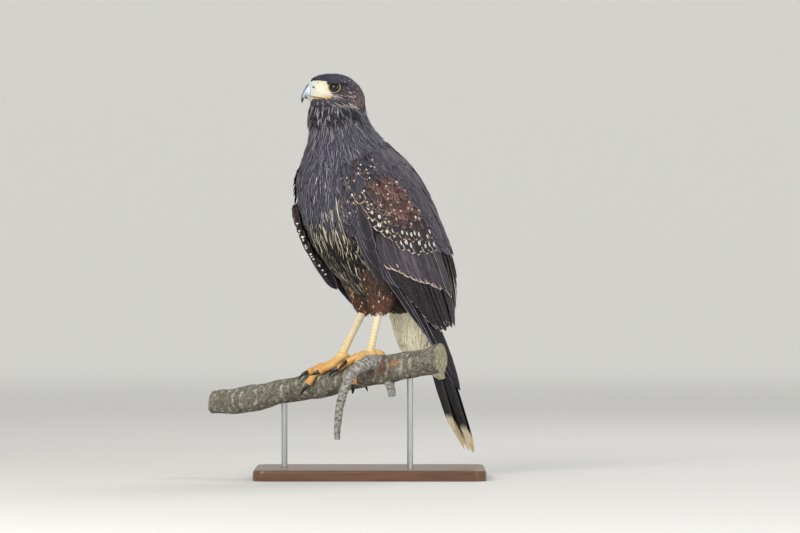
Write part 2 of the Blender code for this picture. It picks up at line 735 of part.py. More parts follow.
def make_perch():
    """The branch, one hanging dead twig and the stub of another."""
    perch = make_branch()
    pieces = []
    for rows, steps in ((TWIG, 10), (STUB, 4)):
        rows = spline(np.linspace(0, 1, len(rows)), rows, np.linspace(0, 1, steps))
        wobble = 1 + 0.1 * np.sin(np.arange(steps) * 2.1)
        pieces.append(tube("twig", rows[:, :3], rows[:, 3] * wobble, 8))
    return boolean(perch, pieces, "UNION")


def make_thigh(name, leg):
    """The feathered shank: a cone of soft plumage from the flank to just above the tarsus."""
    hip, knee = np.array(leg["hip"], float), np.array(leg["knee"], float)
    share = np.linspace(0, 1, len(THIGH_RADII))
    steps = np.linspace(0, 1, 9)
    radii = spline(share, np.array(THIGH_RADII, float), steps)
    centre = hip + (knee - hip) * steps[:, None]
    angle = np.arange(18) * 2 * np.pi / 18
    rings = np.stack([
        centre[:, 0:1] + radii[:, 0:1] * np.cos(angle),
        centre[:, 1:2] + radii[:, 1:2] * np.sin(angle),
        centre[:, 2:3] + 0.0 * angle,
    ], -1)
    return loft(name, to_world(rings))


def make_tarsus(name, leg):
    knee = to_world(np.array(leg["knee"], float))
    ball_at = np.array(leg["ball"], float)
    share = np.linspace(0, 1, 7)[:, None]
    top = knee + (0, 0, 6.0)
    path = top * (1 - share) + ball_at * share
    radii = spline(np.linspace(0, 1, len(TARSUS_RADII)), np.array(TARSUS_RADII)[:, None], share[:, 0])[:, 0]
    return tube(name, path, radii, 12)


# Toes of each foot: place along the perch and angle round it, from the ball to the claw's root.
TOES = {
    "left": {
        "inner": ((-9, 4), (-16, 14), (-20, 30)),
        "middle": ((-10, 24), (-21, 36), (-31, 52)),
        "outer": ((-5, 42), (-10, 78), (-12, 114)),
        "hind": ((8, -28), (12, -58), (14, -84)),
    },
    "right": {
        "inner": ((-43, 26), (-51, 32), (-57, 42)),
        "middle": ((-50, 14), (-62, 40), (-70, 80)),
        "outer": ((-50, -6), (-64, 6), (-73, 34)),
        "hind": ((-28, -28), (-23, -58), (-21, -84)),
    },
}
TOE_RADII = (6.2, 5.2, 4.8, 4.4)
CLAW_LENGTH = dict(inner=21, middle=19, outer=16, hind=24)


def toe_path(foot, toe):
    """The toe's knuckles: the ball of the foot first, then three places on the bark."""
    knuckles = [np.array(LEGS[foot]["ball"]) - (0, 0, 3.0)]
    for (x, degrees), radius in zip(TOES[foot][toe], TOE_RADII[1:]):
        knuckles.append(perch_point(x, np.radians(degrees), radius * 0.94 + 0.6))
    return np.array(knuckles)


def make_foot(name, foot):
    ball_at = np.array(LEGS[foot]["ball"], float)
    body = ball(name, ball_at - (0, 0, 3.0), (9.0, 8.0, 7.0))
    toes = []
    for toe in TOES[foot]:
        knuckles = toe_path(foot, toe)
        share = np.linspace(0, 1, len(knuckles))
        steps = np.linspace(0, 1, 8)
        path = spline(share, knuckles, steps)
        radii = spline(share, np.array(TOE_RADII)[:, None], steps)[:, 0]
        radii *= 1 + 0.06 * np.cos(steps * 6 * np.pi)
        toes.append(tube(toe, path, radii, 8))
    return boolean(body, toes, "UNION")


def make_claw(name, foot, toe):
    """A claw curves on from its toe and round the perch, tapering to a point."""
    knuckles = toe_path(foot, toe)
    heading = knuckles[-1] - knuckles[-2]
    heading /= np.linalg.norm(heading)
    centre, _ = perch_centre(np.array(knuckles[-1][0]))
    inward = centre - knuckles[-1]
    inward -= heading * (inward @ heading)
    inward /= np.linalg.norm(inward)
    length = CLAW_LENGTH[toe]
    bend = np.linspace(0, 1.25, 6)
    radius = length / 1.25
    start = knuckles[-1] + heading * (TOE_RADII[-1] * 0.55) - inward * 0.6
    lift = -inward
    path = (
        start
        + radius * np.sin(bend)[:, None] * (heading * 0.94 + lift * 0.34)
        + radius * (1 - np.cos(bend))[:, None] * (inward * 0.94 + heading * 0.34)
    )
    return tube(name, path, np.interp(bend, (0, 0.6, 1.25), (3.3, 2.3, 0.5)), 7)


def rounded_board(name, size, corner, bevel):
    """A flat board with round corners, whose upper edge is eased."""
    half_x, half_y = size[0] / 2, size[1] / 2
    turn = np.arange(20) * 2 * np.pi / 20 + np.pi / 20
    sign = np.stack([np.sign(np.cos(turn)), np.sign(np.sin(turn))], -1)
    arc = np.stack([np.cos(turn), np.sin(turn)], -1)
    rings = []
    top = size[2]
    for inset, z in ((0.0, 0.0), (0.0, top - bevel), (bevel * 0.3, top - bevel * 0.3), (bevel, top)):
        xy = sign * (half_x - corner, half_y - corner) + arc * (corner - inset)
        rings.append(np.concatenate([xy, np.full((20, 1), z)], 1))
    return loft(name, np.array(rings))


def make_stand(perch):
    base = rounded_board("stand_base", BASE_SIZE, 18.0, 3.0)
    rods = []
    for x in ROD_X:
        centre, radius = perch_centre(np.array(float(x)))
        low, high = BASE_SIZE[2] - ROD_SINK, centre[2] - radius + 7.0
        for grow, keep in ((GAP, False), (0.0, True)):
            ends = (low - grow, (low + high) / 2, high + grow)
            path = np.array([(x, centre[1], z) for z in ends])
            bar = tube("rod", path, [ROD_RADIUS + grow] * 3, 14)
            if keep:
                rods.append(bar)
            else:
                sleeve = bar.copy()
                sleeve.data = bar.data.copy()
                bpy.context.scene.collection.objects.link(sleeve)
                boolean(base, [bar], "DIFFERENCE")
                boolean(perch, [sleeve], "DIFFERENCE")
    return base, rods


def make_hawk():
    for obj in list(bpy.data.objects):
        bpy.data.objects.remove(obj)

    head, cere, neck, torso = make_trunk_and_head()
    eyes = make_head_details(head, cere)
    bill_upper = bill_part("bill_upper", BILL_UPPER)
    bill_lower = clear_of(bill_part("bill_lower", BILL_LOWER), [bill_upper])

    perch = make_perch()
    base, rods = make_stand(perch)

    thighs = {}
    for foot, leg in LEGS.items():
        thighs[foot] = clear_of(make_thigh("thigh_" + foot, leg), [torso])
    clear_of(thighs["right"], [thighs["left"]])

    tail = clear_of(make_tail(), [torso])
    undertail = clear_of(make_undertail(), [torso, thighs["left"], thighs["right"]])
    body_parts = [torso, thighs["left"], thighs["right"], tail, undertail]
    wings = {}
    for name, side in (("left", 1), ("right", -1)):
        wings[name] = clear_of(make_wing("wing_" + name, side), body_parts)
    clear_of(wings["right"], [wings["left"]])

    finish(head, "head", PLUMAGE, 0.8)
    finish(cere, "cere", BARE_SKIN, 0.5)
    finish(bill_upper, "bill_upper", (0.35, 0.4, 0.45), 0.3)
    finish(bill_lower, "bill_lower", (0.35, 0.4, 0.45), 0.3)
    finish(neck, "neck", PLUMAGE, 0.8)
    finish(torso, "torso", PLUMAGE, 0.8)
    finish(tail, "tail", PLUMAGE, 0.8)
    finish(undertail, "undertail", CREAM, 0.8)
    for side in ("left", "right"):
        finish(eyes[side], "eye_" + side, (0.06, 0.025, 0.012), 0.05)
        finish(thighs[side], "thigh_" + side, CHESTNUT, 0.8)
        finish(wings[side], "wing_" + side, PLUMAGE, 0.75)
        foot = make_foot("foot_" + side, side)
        boolean(foot, [make_branch(GAP)], "DIFFERENCE")
        tarsus = clear_of(make_tarsus("tarsus_" + side, LEGS[side]), [thighs[side]])
        claws = {}
        for toe in TOES[side]:
            claws[toe] = boolean(make_claw("claw", side, toe), [make_branch(GAP)], "DIFFERENCE")
        clear_of(foot, [tarsus, *claws.values()])
        finish(foot, "foot_" + side, YELLOW, 0.55)
        finish(tarsus, "tarsus_" + side, YELLOW, 0.55)
        for toe, claw in claws.items():
            finish(claw, "claw_" + side + "_" + toe, HORN, 0.3)
    finish(perch, "perch", BARK, 0.9)
    finish(base, "stand_base", (0.16, 0.09, 0.05), 0.45)
    for name, rod in zip(("left", "right"), rods):
        finish(rod, "stand_rod_" + name, (0.55, 0.55, 0.56), 0.35, 1.0)


make_hawk()
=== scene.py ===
"""The looks of a life-size Harris's hawk that grips a cut branch, over its CAD frame.

Shapes are worked out in millimetres and turned to metres where a mesh is made. The bird has a frame of its
own, forward, left and up from the middle of the base, and its head is turned in a second one.
"""

import bpy
import numpy as np
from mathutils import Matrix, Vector


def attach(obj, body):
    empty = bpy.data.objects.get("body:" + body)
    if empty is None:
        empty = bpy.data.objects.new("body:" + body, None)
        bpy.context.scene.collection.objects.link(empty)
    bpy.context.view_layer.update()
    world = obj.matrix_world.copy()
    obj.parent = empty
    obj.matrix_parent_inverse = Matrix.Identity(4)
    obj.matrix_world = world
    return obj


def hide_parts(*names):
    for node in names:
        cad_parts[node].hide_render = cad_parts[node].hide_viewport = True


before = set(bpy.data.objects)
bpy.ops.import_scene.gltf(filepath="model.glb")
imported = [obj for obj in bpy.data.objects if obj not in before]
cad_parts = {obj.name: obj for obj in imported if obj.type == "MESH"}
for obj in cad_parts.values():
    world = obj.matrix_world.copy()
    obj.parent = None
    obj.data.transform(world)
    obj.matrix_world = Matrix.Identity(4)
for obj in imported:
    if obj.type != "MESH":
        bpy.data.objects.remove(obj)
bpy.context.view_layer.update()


# The studio: a pale painted floor that bends up into a round wall far out, a large soft lamp above on the left,
# a weaker one on the right and one behind. The camera stands far off and level, as the photograph was taken with a long lens.
MM = 0.001
IMAGE_WIDTH = 800
PIXEL_AT_BIRD = 1.3
CAMERA_FROM = (39.0, -6000.0, 275.0)
SENSOR = 36.0


def linear(code):
    """A colour from its sRGB hex code, as linear red, green, blue and one."""
    values = np.array([int(code[i : i + 2], 16) for i in (1, 3, 5)]) / 255
    values = np.where(values <= 0.04045, values / 12.92, ((values + 0.055) / 1.055) ** 2.4)
    return (*values.tolist(), 1.0)


def add(tree, kind, inputs=None, **settings):
    """Adds a node. Settings are its properties, and inputs are values, or sockets to link, for its sockets."""
    made = tree.nodes.new("ShaderNode" + kind)
    for key, value in settings.items():
        setattr(made, key, value)
    for key, value in (inputs or {}).items():
        if isinstance(value, bpy.types.NodeSocket):
            tree.links.new(value, made.inputs[key])
        else:
            made.inputs[key].default_value = value
    return made


def new_material(name, **sockets):
    """A Principled material with these sockets set, and its tree and shader."""
    material = bpy.data.materials.new(name)
    material.use_nodes = True
    shader = material.node_tree.nodes["Principled BSDF"]
    for key, value in sockets.items():
        shader.inputs[key.replace("_", " ").title().replace("Ior", "IOR")].default_value = value
    return material, material.node_tree, shader


def lamp(name, place, size, power, colour):
    """A square soft lamp that faces the middle of the bird."""
    light = bpy.data.lights.new(name, "AREA")
    light.size = size
    light.energy = power
    light.color = colour
    obj = bpy.data.objects.new(name, light)
    obj.location = place
    obj.rotation_euler = (Vector((0.0, 0.0, 0.28)) - Vector(place)).to_track_quat("-Z", "Y").to_euler()
    bpy.context.scene.collection.objects.link(obj)


lamp("key", (-1.3, -2.4, 1.7), 1.4, 64.0, (1.0, 0.98, 0.95))
lamp("fill", (2.0, -1.8, 0.9), 1.6, 20.0, (0.93, 0.96, 1.0))
lamp("back", (0.9, 1.3, 1.9), 0.9, 14.0, (1.0, 1.0, 1.0))

world = bpy.data.worlds.new("studio")
world.use_nodes = True
world.node_tree.nodes["Background"].inputs["Color"].default_value = linear("#e9eaea")
world.node_tree.nodes["Background"].inputs["Strength"].default_value = 0.55
bpy.context.scene.world = world
bpy.context.scene.view_settings.view_transform = "Standard"

camera = bpy.data.objects.new("camera", bpy.data.cameras.new("camera"))
camera.location = tuple(v * MM for v in CAMERA_FROM)
camera.rotation_euler = (np.pi / 2, 0, 0)
camera.data.sensor_width = SENSOR
camera.data.lens = SENSOR * -CAMERA_FROM[1] / (IMAGE_WIDTH * PIXEL_AT_BIRD)
camera.data.clip_end = 100.0
bpy.context.scene.collection.objects.link(camera)
bpy.context.scene.camera = camera

FLOOR_RADIUS, BEND_RADIUS, WALL_HEIGHT, FLOOR_SIDES = 9.0, 3.0, 9.0, 96
bend = np.linspace(0, np.pi / 2, 17)
profile = [(0.001, 0.0), (3.0, 0.0), *zip(FLOOR_RADIUS + BEND_RADIUS * np.sin(bend), BEND_RADIUS * (1 - np.cos(bend)))]
profile = np.array([*profile, (FLOOR_RADIUS + BEND_RADIUS, WALL_HEIGHT)])
turn = np.linspace(0, 2 * np.pi, FLOOR_SIDES + 1)[:-1]
corners = np.stack([profile[:, :1] * np.cos(turn), profile[:, :1] * np.sin(turn), profile[:, 1:] + 0 * turn], -1)
grid = np.arange(len(profile) * FLOOR_SIDES).reshape(len(profile), FLOOR_SIDES)
grid = np.concatenate([grid, grid[:, :1]], 1)
strips = np.stack([grid[:-1, :-1], grid[1:, :-1], grid[1:, 1:], grid[:-1, 1:]], -1).reshape(-1, 4)
middle = [grid[0, :-1].tolist()]
floor_mesh = bpy.data.meshes.new("floor")
floor_mesh.from_pydata(corners.reshape(-1, 3).tolist(), [], strips.tolist() + middle)
floor_mesh.shade_smooth()
floor = bpy.data.objects.new("floor", floor_mesh)
bpy.context.scene.collection.objects.link(floor)
paint, tree, shader = new_material("pale floor paint", roughness=0.7)
far_out = add(tree, "VectorMath", {0: add(tree, "TexCoord").outputs["Object"]}, operation="LENGTH")
outward = add(tree, "MapRange", {"Value": far_out.outputs["Value"], 1: 1.0, 2: 6.0, 3: 0.0, 4: 1.0})
pale = add(tree, "Mix", {0: outward.outputs[0], 6: linear("#dbdad7"), 7: linear("#f8f7f5")}, data_type="RGBA")
tree.links.new(pale.outputs[2], shader.inputs["Base Color"])
glow = add(tree, "Mix", {0: outward.outputs[0], 6: linear("#000000"), 7: linear("#5e5e5b")}, data_type="RGBA")
tree.links.new(glow.outputs[2], shader.inputs["Emission Color"])
shader.inputs["Emission Strength"].default_value = 1.0
paint.cycles.emission_sampling = "NONE"
floor.data.materials.append(paint)


# The skin: head, neck, trunk and thighs in one, as a mounted bird's is. It lies inside the plumage by the
# depth of the coat, and shows only between feathers, in the colours of the feathers over it but darker: partly dark
# down and partly painted shade deep between the feathers.
BODY_YAW = np.radians(35.0)
HEAD_YAW = np.radians(8.0)
HEAD_AT = (-41.6, -29.0, 502.0)

# Down the trunk: share of its length, centre forward and up, depth to breast and to back, half width.
TRUNK = np.array([
    [0.00, 54, 494, 30, 31, 27],
    [0.08, 52, 475, 36, 37, 34.5],
    [0.17, 47, 452, 41.5, 41, 41],
    [0.27, 40, 428, 58, 50, 54],
    [0.40, 29, 396, 78, 63, 68],
    [0.54, 10, 360, 86, 76, 73],
    [0.68, -9, 322, 82, 82, 73],
    [0.80, -24, 288, 68, 78, 66],
    [0.90, -40, 256, 50, 64, 53],
    [0.97, -54, 230, 29, 44, 38],
    [1.00, -64, 212, 10, 24, 20],
])
TRUNK_LENGTH = 305.0

# From the face to the nape: forward, top, bottom, half width, in the head's own frame.
SKULL = np.array([
    [36.2, 12.0, -13, 9],
    [33, 16, -16, 12.5],
    [27, 19, -20, 17],
    [19, 21, -23, 21],
    [8, 22, -26, 24],
    [-4, 21, -29, 25.5],
    [-15, 17, -30, 24.5],
    [-25, 9, -28, 20],
    [-31, 1, -24, 13],
    [-34, -8, -16, 4],
])
EYE_AT = (5.4, 17.2, 3.2)
EYE_AXIS = (0.26, 0.96, 0.09)
EYE_RADIUS = 9.0

LEGS = {
    "left": {"side": 1, "hip": (-2, 34, 300), "knee": (2.6, 26, 216), "ball": (0.5, -19.5, 164.0)},
    "right": {"side": -1, "hip": (-6, -34, 300), "knee": (-10.0, -25, 216), "ball": (-36.0, -3.5, 161.5)},
}
THIGH_RADII = ((46, 26), (40, 25), (32, 21), (22, 16), (13, 11.5))


def spline(knots, values, x):
    """A smooth curve through the knots, whose slope at each is weighted from the stretches beside it."""
    k = np.asarray(knots, float)
    v = np.asarray(values, float)
    x = np.asarray(x, float)
    steps = np.diff(k)
    slopes = np.diff(v, axis=0) / steps[:, None]
    at_knot = np.empty_like(v)
    at_knot[0], at_knot[-1] = slopes[0], slopes[-1]
    weight = steps[:-1, None] / (steps[:-1] + steps[1:])[:, None]
    at_knot[1:-1] = slopes[:-1] * (1 - weight) + slopes[1:] * weight
    i = np.clip(np.searchsorted(k, x, side="right") - 1, 0, len(k) - 2)
    h = steps[i][..., None]
    u = (x - k[i])[..., None] / h
    return (
        (2 * u**3 - 3 * u**2 + 1) * v[i]
        + (u**3 - 2 * u**2 + u) * h * at_knot[i]
        + (-2 * u**3 + 3 * u**2) * v[i + 1]
        + (u**3 - u**2) * h * at_knot[i + 1]
    )


def unit(vectors):
    return vectors / np.maximum(np.linalg.norm(vectors, axis=-1, keepdims=True), 1e-9)


def smooth(low, high, x):
    """Nought below low, one above high, and an even S between."""
    x = np.clip((np.asarray(x, float) - low) / (high - low), 0, 1)
    return x * x * (3 - 2 * x)


def bird(points, yaw=BODY_YAW, at=(0, 0, 0)):
    """Points given forward, left and up, turned about the vertical and set at a place."""
    f, l, z = np.moveaxis(np.asarray(points, float), -1, 0)
    x = -f * np.cos(yaw) + l * np.sin(yaw) + at[0]
    y = -f * np.sin(yaw) - l * np.cos(yaw) + at[1]
    return np.stack([x, y, z + at[2]], -1)


def head(points):
    return bird(points, HEAD_YAW, HEAD_AT)


def unbird(points, yaw=BODY_YAW, at=(0, 0, 0)):
    """The other way: places in the base's frame, as forward, left and up."""
    x, y, z = np.moveaxis(np.asarray(points, float) - at, -1, 0)
    return np.stack([-x * np.cos(yaw) - y * np.sin(yaw), x * np.sin(yaw) - y * np.cos(yaw), z], -1)


def trunk(t, angle, height=0.0, table=TRUNK):
    """A point of the trunk: t runs down it, the angle from the breast by the left side to the back."""
    t, angle, height = np.broadcast_arrays(
        np.asarray(t, float), np.asarray(angle, float), np.asarray(height, float)
    )
    k = table[:, 0]
    step = 1e-3
    centre = spline(k, table[:, 1:3], t)
    along = spline(k, table[:, 1:3], np.clip(t + step, k[0], k[-1]))
    along = unit(along - spline(k, table[:, 1:3], np.clip(t - step, k[0], k[-1])))
    radii = spline(k, table[:, 3:6], t)
    depth = np.where(np.cos(angle) > 0, radii[..., 0], radii[..., 1]) + height
    f = centre[..., 0] - along[..., 1] * depth * np.cos(angle)
    z = centre[..., 1] + along[..., 0] * depth * np.cos(angle)
    return np.stack([f, (radii[..., 2] + height) * np.sin(angle), z], -1)


def skull(u, angle, height=0.0):
    """A point of the head: u runs from face to nape, the angle from the crown by the left side."""
    u, angle, height = np.broadcast_arrays(
        np.asarray(u, float), np.asarray(angle, float), np.asarray(height, float)
    )
    rows = spline(np.linspace(0, 1, len(SKULL)), SKULL, u)
    half = (rows[..., 1] - rows[..., 2]) / 2 + height
    up = (rows[..., 1] + rows[..., 2]) / 2 + half * np.cos(angle)
    place = np.stack([rows[..., 0], (rows[..., 3] + height) * np.sin(angle), up], -1)
    return place + brow_and_socket(place)


def brow_and_socket(place):
    """How the head departs from an egg: a ridge over each eye, a hollow round it and flat lores before it."""
    f, l, z = np.moveaxis(place, -1, 0)
    side = np.sign(l) * smooth(8, 14, np.abs(l))
    ridge = 2.6 * np.exp(-(((z - 11.5) / 3.2) ** 2)) * smooth(-10, 2, f) * smooth(25, 17, f)
    hollow = 1.6 * np.exp(-(((f - 6) / 9) ** 2) - ((z - 3) / 7) ** 2)
    lores = 1.8 * np.exp(-(((f - 21) / 6) ** 2) - ((z - 2) / 7) ** 2)
    cheek = 1.2 * np.exp(-(((f + 2) / 9) ** 2) - ((z + 14) / 8) ** 2)
    return np.stack([np.zeros_like(f), side * (ridge - hollow - lores + cheek), 0.3 * np.abs(side) * ridge], -1)


def thigh(leg, s, angle, height=0.0):
    """A point of the feathered shank, a cone whose s runs from the hip to just above the tarsus."""
    s, angle, height = np.broadcast_arrays(
        np.asarray(s, float), np.asarray(angle, float), np.asarray(height, float)
    )
    radii = spline(np.linspace(0, 1, len(THIGH_RADII)), THIGH_RADII, s) + height[..., None]
    centre = np.array(leg["hip"], float) + (np.array(leg["knee"], float) - leg["hip"]) * s[..., None]
    around = np.stack([radii[..., 0] * np.cos(angle), radii[..., 1] * np.sin(angle), 0 * s], -1)
    return centre + around


def quads(grid):
    """The four-cornered faces of a grid of vertex numbers."""
    return np.stack([grid[:-1, :-1], grid[1:, :-1], grid[1:, 1:], grid[:-1, 1:]], -1).reshape(-1, 4)


def skin_of(rings):
    """Rings of points (rows, around, 3) as a closed tube: its points, and its faces with a fan at either end."""
    count, around = rings.shape[:2]
    grid = np.arange(count * around).reshape(count, around)
    grid = np.concatenate([grid, grid[:, :1]], 1)
    points = np.concatenate([rings.reshape(-1, 3), rings[0].mean(0)[None], rings[-1].mean(0)[None]])
    first, last = grid[0], grid[-1]
    start, end = np.full(around, count * around), np.full(around, count * around + 1)
    caps = [np.stack([start, first[:-1], first[1:], start], -1), np.stack([end, last[1:], last[:-1], end], -1)]
    return points, quads(grid), np.concatenate(caps)[:, :3]


def piece(name, points, faces, material, replaced=(), sharp=40.0, colours=None, maps=None):
    """One piece of the model: points in millimetres, faces as arrays of vertex numbers, and its colours."""
    mesh = bpy.data.meshes.new(name)
    groups = faces if isinstance(faces, (list, tuple)) else [faces]
    corners = np.concatenate([group.ravel() for group in groups])
    sizes = np.concatenate([np.full(len(group), group.shape[1]) for group in groups])
    mesh.vertices.add(len(points))
    mesh.vertices.foreach_set("co", (points * MM).astype(np.float32).ravel())
    mesh.loops.add(len(corners))
    mesh.loops.foreach_set("vertex_index", corners.astype(np.int32))
    mesh.polygons.add(len(sizes))
    mesh.polygons.foreach_set("loop_start", (np.cumsum(sizes) - sizes).astype(np.int32))
    mesh.update(calc_edges=True)
    for key, values in (colours or {}).items():
        mesh.attributes.new(key, "FLOAT_COLOR", "POINT").data.foreach_set("color", values.astype(np.float32).ravel())
    for key, values in (maps or {}).items():
        mesh.uv_layers.new(name=key).data.foreach_set("uv", values[corners].astype(np.float32).ravel())
    mesh.shade_smooth()
    if sharp:
        mesh.set_sharp_from_angle(angle=np.radians(sharp))
    obj = bpy.data.objects.new(name, mesh)
    bpy.context.scene.collection.objects.link(obj)
    mesh.materials.append(material)
    return dress(obj, replaced)


def dress(obj, replaced=()):
    """Says what a piece rides on, and hides the CAD nodes it stands for."""
    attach(obj, "root")
    if replaced:
        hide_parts(*replaced)
    return obj


COAT_DEPTH = 5.0
HEAD_COAT_DEPTH = 1.3
SKIN_VOXEL = 2.2
PLUMAGE = {
    "slate": "#42404c", "slate light": "#696674", "slate violet": "#544f5b", "crown": "#34333f",
    "nape edge": "#9c7f7c", "cheek": "#4d4850", "cheek edge": "#bfb1a6", "throat edge": "#b4b1ba",
    "belly": "#151316", "cream": "#cabd9c", "chestnut": "#5e3a2d", "buff": "#dcb98c",
    "vent": "#3b2a24", "undertail": "#faeecd", "black brown": "#231f24", "white": "#f0e8d8",
    "crown edge": "#5c5a6e", "nape": "#51464d", "peach": "#cfae97", "grey brown": "#4a434c", "grey violet": "#6f6a78", "brick": "#7b5545", "wing brown": "#6d4c47", "wing buff": "#8c7067",
}
TINT = {name: np.array(linear(code)) for name, code in PLUMAGE.items()}


def blend(first, second, weight):
    """Colours part of the way from the first to the second, one for each weight."""
    weight = np.asarray(weight, float)[..., None]
    return np.asarray(first) * (1 - weight) + np.asarray(second) * weight


def ground_of_trunk(t, angle):
    """The colour of body feathers by their place: slate above and in front, black belly, slate-violet back."""
    front = smooth(1.5, 1.0, np.abs(angle))
    colour = blend(TINT["slate"], TINT["slate violet"], smooth(1.6, 2.4, np.abs(angle)))
    colour = blend(colour, TINT["belly"], front * smooth(0.42, 0.54, t + 0.03 * np.sin(9 * angle)))
    return blend(colour, TINT["vent"], smooth(0.82, 0.90, t))


def ground_of_head(place):
    """Dark crown, paler cheeks and a streaked throat."""
    f, l, z = np.moveaxis(place, -1, 0)
    colour = blend(TINT["cheek"], TINT["crown"], smooth(4, 13, z))
    return blend(colour, TINT["slate"], smooth(-8, -26, f))


around = np.linspace(0, 2 * np.pi, 97)[:-1]
tubes = [
    head(skull(np.linspace(0.02, 0.995, 80)[:, None], around, -HEAD_COAT_DEPTH)),
    bird(trunk(np.linspace(0.01, 0.99, 120)[:, None], around, -COAT_DEPTH)),
]
for leg in LEGS.values():
    tubes.append(bird(thigh(leg, np.linspace(0.0, 0.94, 40)[:, None], around, -3.0)))
BROW_ENDS = ((21.0, 16.6, 9.6), (-10.0, 22.0, 9.0))
BROW_TUBE = 3.0


def brow(side, share, angle, height=0.0):
    """A point of the roll over an eye, which runs back; the angle turns from its top outward."""
    share, angle, height = np.broadcast_arrays(
        np.asarray(share, float), np.asarray(angle, float), np.asarray(height, float)
    )
    first, last = (np.array(end) for end in BROW_ENDS)
    centre = first + (last - first) * share[..., None] + np.sin(np.pi * share)[..., None] * (0, 3.4, 0.5)
    size = BROW_TUBE * (0.3 + 0.7 * np.sin(np.pi * np.clip(share * 0.86 + 0.1, 0, 1))) + height
    place = centre + size[..., None] * np.stack([0 * share, np.sin(angle), np.cos(angle)], -1)
    return place * (1, side, 1)


for side in (1, -1):
    tubes.append(head(brow(side, np.linspace(0.0, 1.0, 30)[:, None], around, -0.8)))
points, faces, start = [], [], 0
for rings in tubes:
    own, sides, caps = skin_of(rings)
    points.append(own)
    faces += [sides + start, caps + start]
    start += len(own)
rough_mesh = bpy.data.meshes.new("rough skin")
rough_mesh.from_pydata((np.concatenate(points) * MM).tolist(), [], [f for group in faces for f in group.tolist()])
rough = bpy.data.objects.new("rough skin", rough_mesh)
bpy.context.scene.collection.objects.link(rough)
remesh = rough.modifiers.new("one skin", "REMESH")
remesh.mode = "VOXEL"
remesh.voxel_size = SKIN_VOXEL * MM
relax = rough.modifiers.new("relax", "SMOOTH")
relax.factor = 0.5
relax.iterations = 8
skin_mesh = bpy.data.meshes.new_from_object(rough.evaluated_get(bpy.context.evaluated_depsgraph_get()))
bpy.data.objects.remove(rough)
places = np.empty(len(skin_mesh.vertices) * 3, np.float32)
skin_mesh.vertices.foreach_get("co", places)
places = places.reshape(-1, 3) / MM
f, l, z = np.moveaxis(unbird(places), -1, 0)
t_of_z = np.interp(-z, -TRUNK[:, 2], TRUNK[:, 0])
middle = np.interp(t_of_z, TRUNK[:, 0], TRUNK[:, 1])
# The skin takes the feathers' colours at six or seven tenths: partly dark down, partly painted shade between the
# feathers.
tint = ground_of_trunk(t_of_z, np.arctan2(l, f - middle)) * 0.6
tint = blend(tint, TINT["chestnut"] * 0.6, smooth(262, 240, z))
in_head = unbird(places, HEAD_YAW, HEAD_AT)
tint = blend(tint, ground_of_head(in_head) * 0.7, smooth(468, 478, places[:, 2]))
skin_mesh.attributes.new("ground", "FLOAT_COLOR", "POINT").data.foreach_set("color", tint.astype(np.float32).ravel())
down, tree, shader = new_material("down over skin", roughness=0.95, sheen_weight=0.2)
object_place = add(tree, "TexCoord").outputs["Object"]
tufts = add(tree, "TexNoise", {"Vector": object_place, "Scale": 420.0, "Detail": 4.0})
ground = add(tree, "Attribute", attribute_name="ground")
shade = add(tree, "Mix", {0: tufts.outputs["Fac"], 6: ground.outputs["Color"], 7: linear("#8a8590")},
            data_type="RGBA", blend_type="MULTIPLY")
tree.links.new(shade.outputs[2], shader.inputs["Base Color"])
bump = add(tree, "Bump", {"Height": tufts.outputs["Fac"], "Strength": 0.6, "Distance": 0.001})
tree.links.new(bump.outputs["Normal"], shader.inputs["Normal"])
skin_mesh.materials.clear()
skin_mesh.materials.append(down)
skin_mesh.shade_smooth()
skin = bpy.data.objects.new("skin", skin_mesh)
bpy.context.scene.collection.objects.link(skin)
dress(skin, ("head", "neck", "torso", "thigh_left", "thigh_right"))


# Body feathers: soft vanes a few centimetres long, rooted in the skin and lying down the body like loose
# tiles. Each is a closed lens of mesh, which widens from its root and is rounded or pointed at its tip.
SEED = 11
rng = np.random.default_rng(SEED)
PATCH = 0.003
OUTLINES = {
    "round": ((0.0, 0.2, 0.5, 0.78, 0.92, 1.0), (0.35, 0.85, 1.0, 0.9, 0.62, 0.12)),
    "pointed": ((0.0, 0.25, 0.55, 0.8, 1.0), (0.4, 1.0, 0.85, 0.5, 0.06)),
    "lance": ((0.0, 0.2, 0.5, 0.75, 0.9, 1.0), (0.35, 0.85, 1.0, 0.75, 0.45, 0.08)),
    "flight": ((0.0, 0.12, 0.35, 0.7, 0.88, 0.96, 1.0), (0.3, 0.6, 0.9, 1.0, 0.85, 0.5, 0.1)),
}


def template(rings, columns):
    """One feather's faces, and the ring, the column and the side (1 above, -1 below) of each of its points.

    Its upper and lower faces share their rim, so it is closed."""
    top = np.arange(rings * columns).reshape(rings, columns)
    low = top.copy()
    low[1:-1, 1:-1] = top.size + np.arange((rings - 2) * (columns - 2)).reshape(rings - 2, columns - 2)
    ring, column = np.indices((rings, columns))
    ring = np.concatenate([ring.ravel(), ring[1:-1, 1:-1].ravel()])
    column = np.concatenate([column.ravel(), column[1:-1, 1:-1].ravel()])
    side = np.where(np.arange(len(ring)) < top.size, 1.0, -1.0)
    return np.concatenate([quads(top), quads(low)[:, ::-1]]), ring, column, side


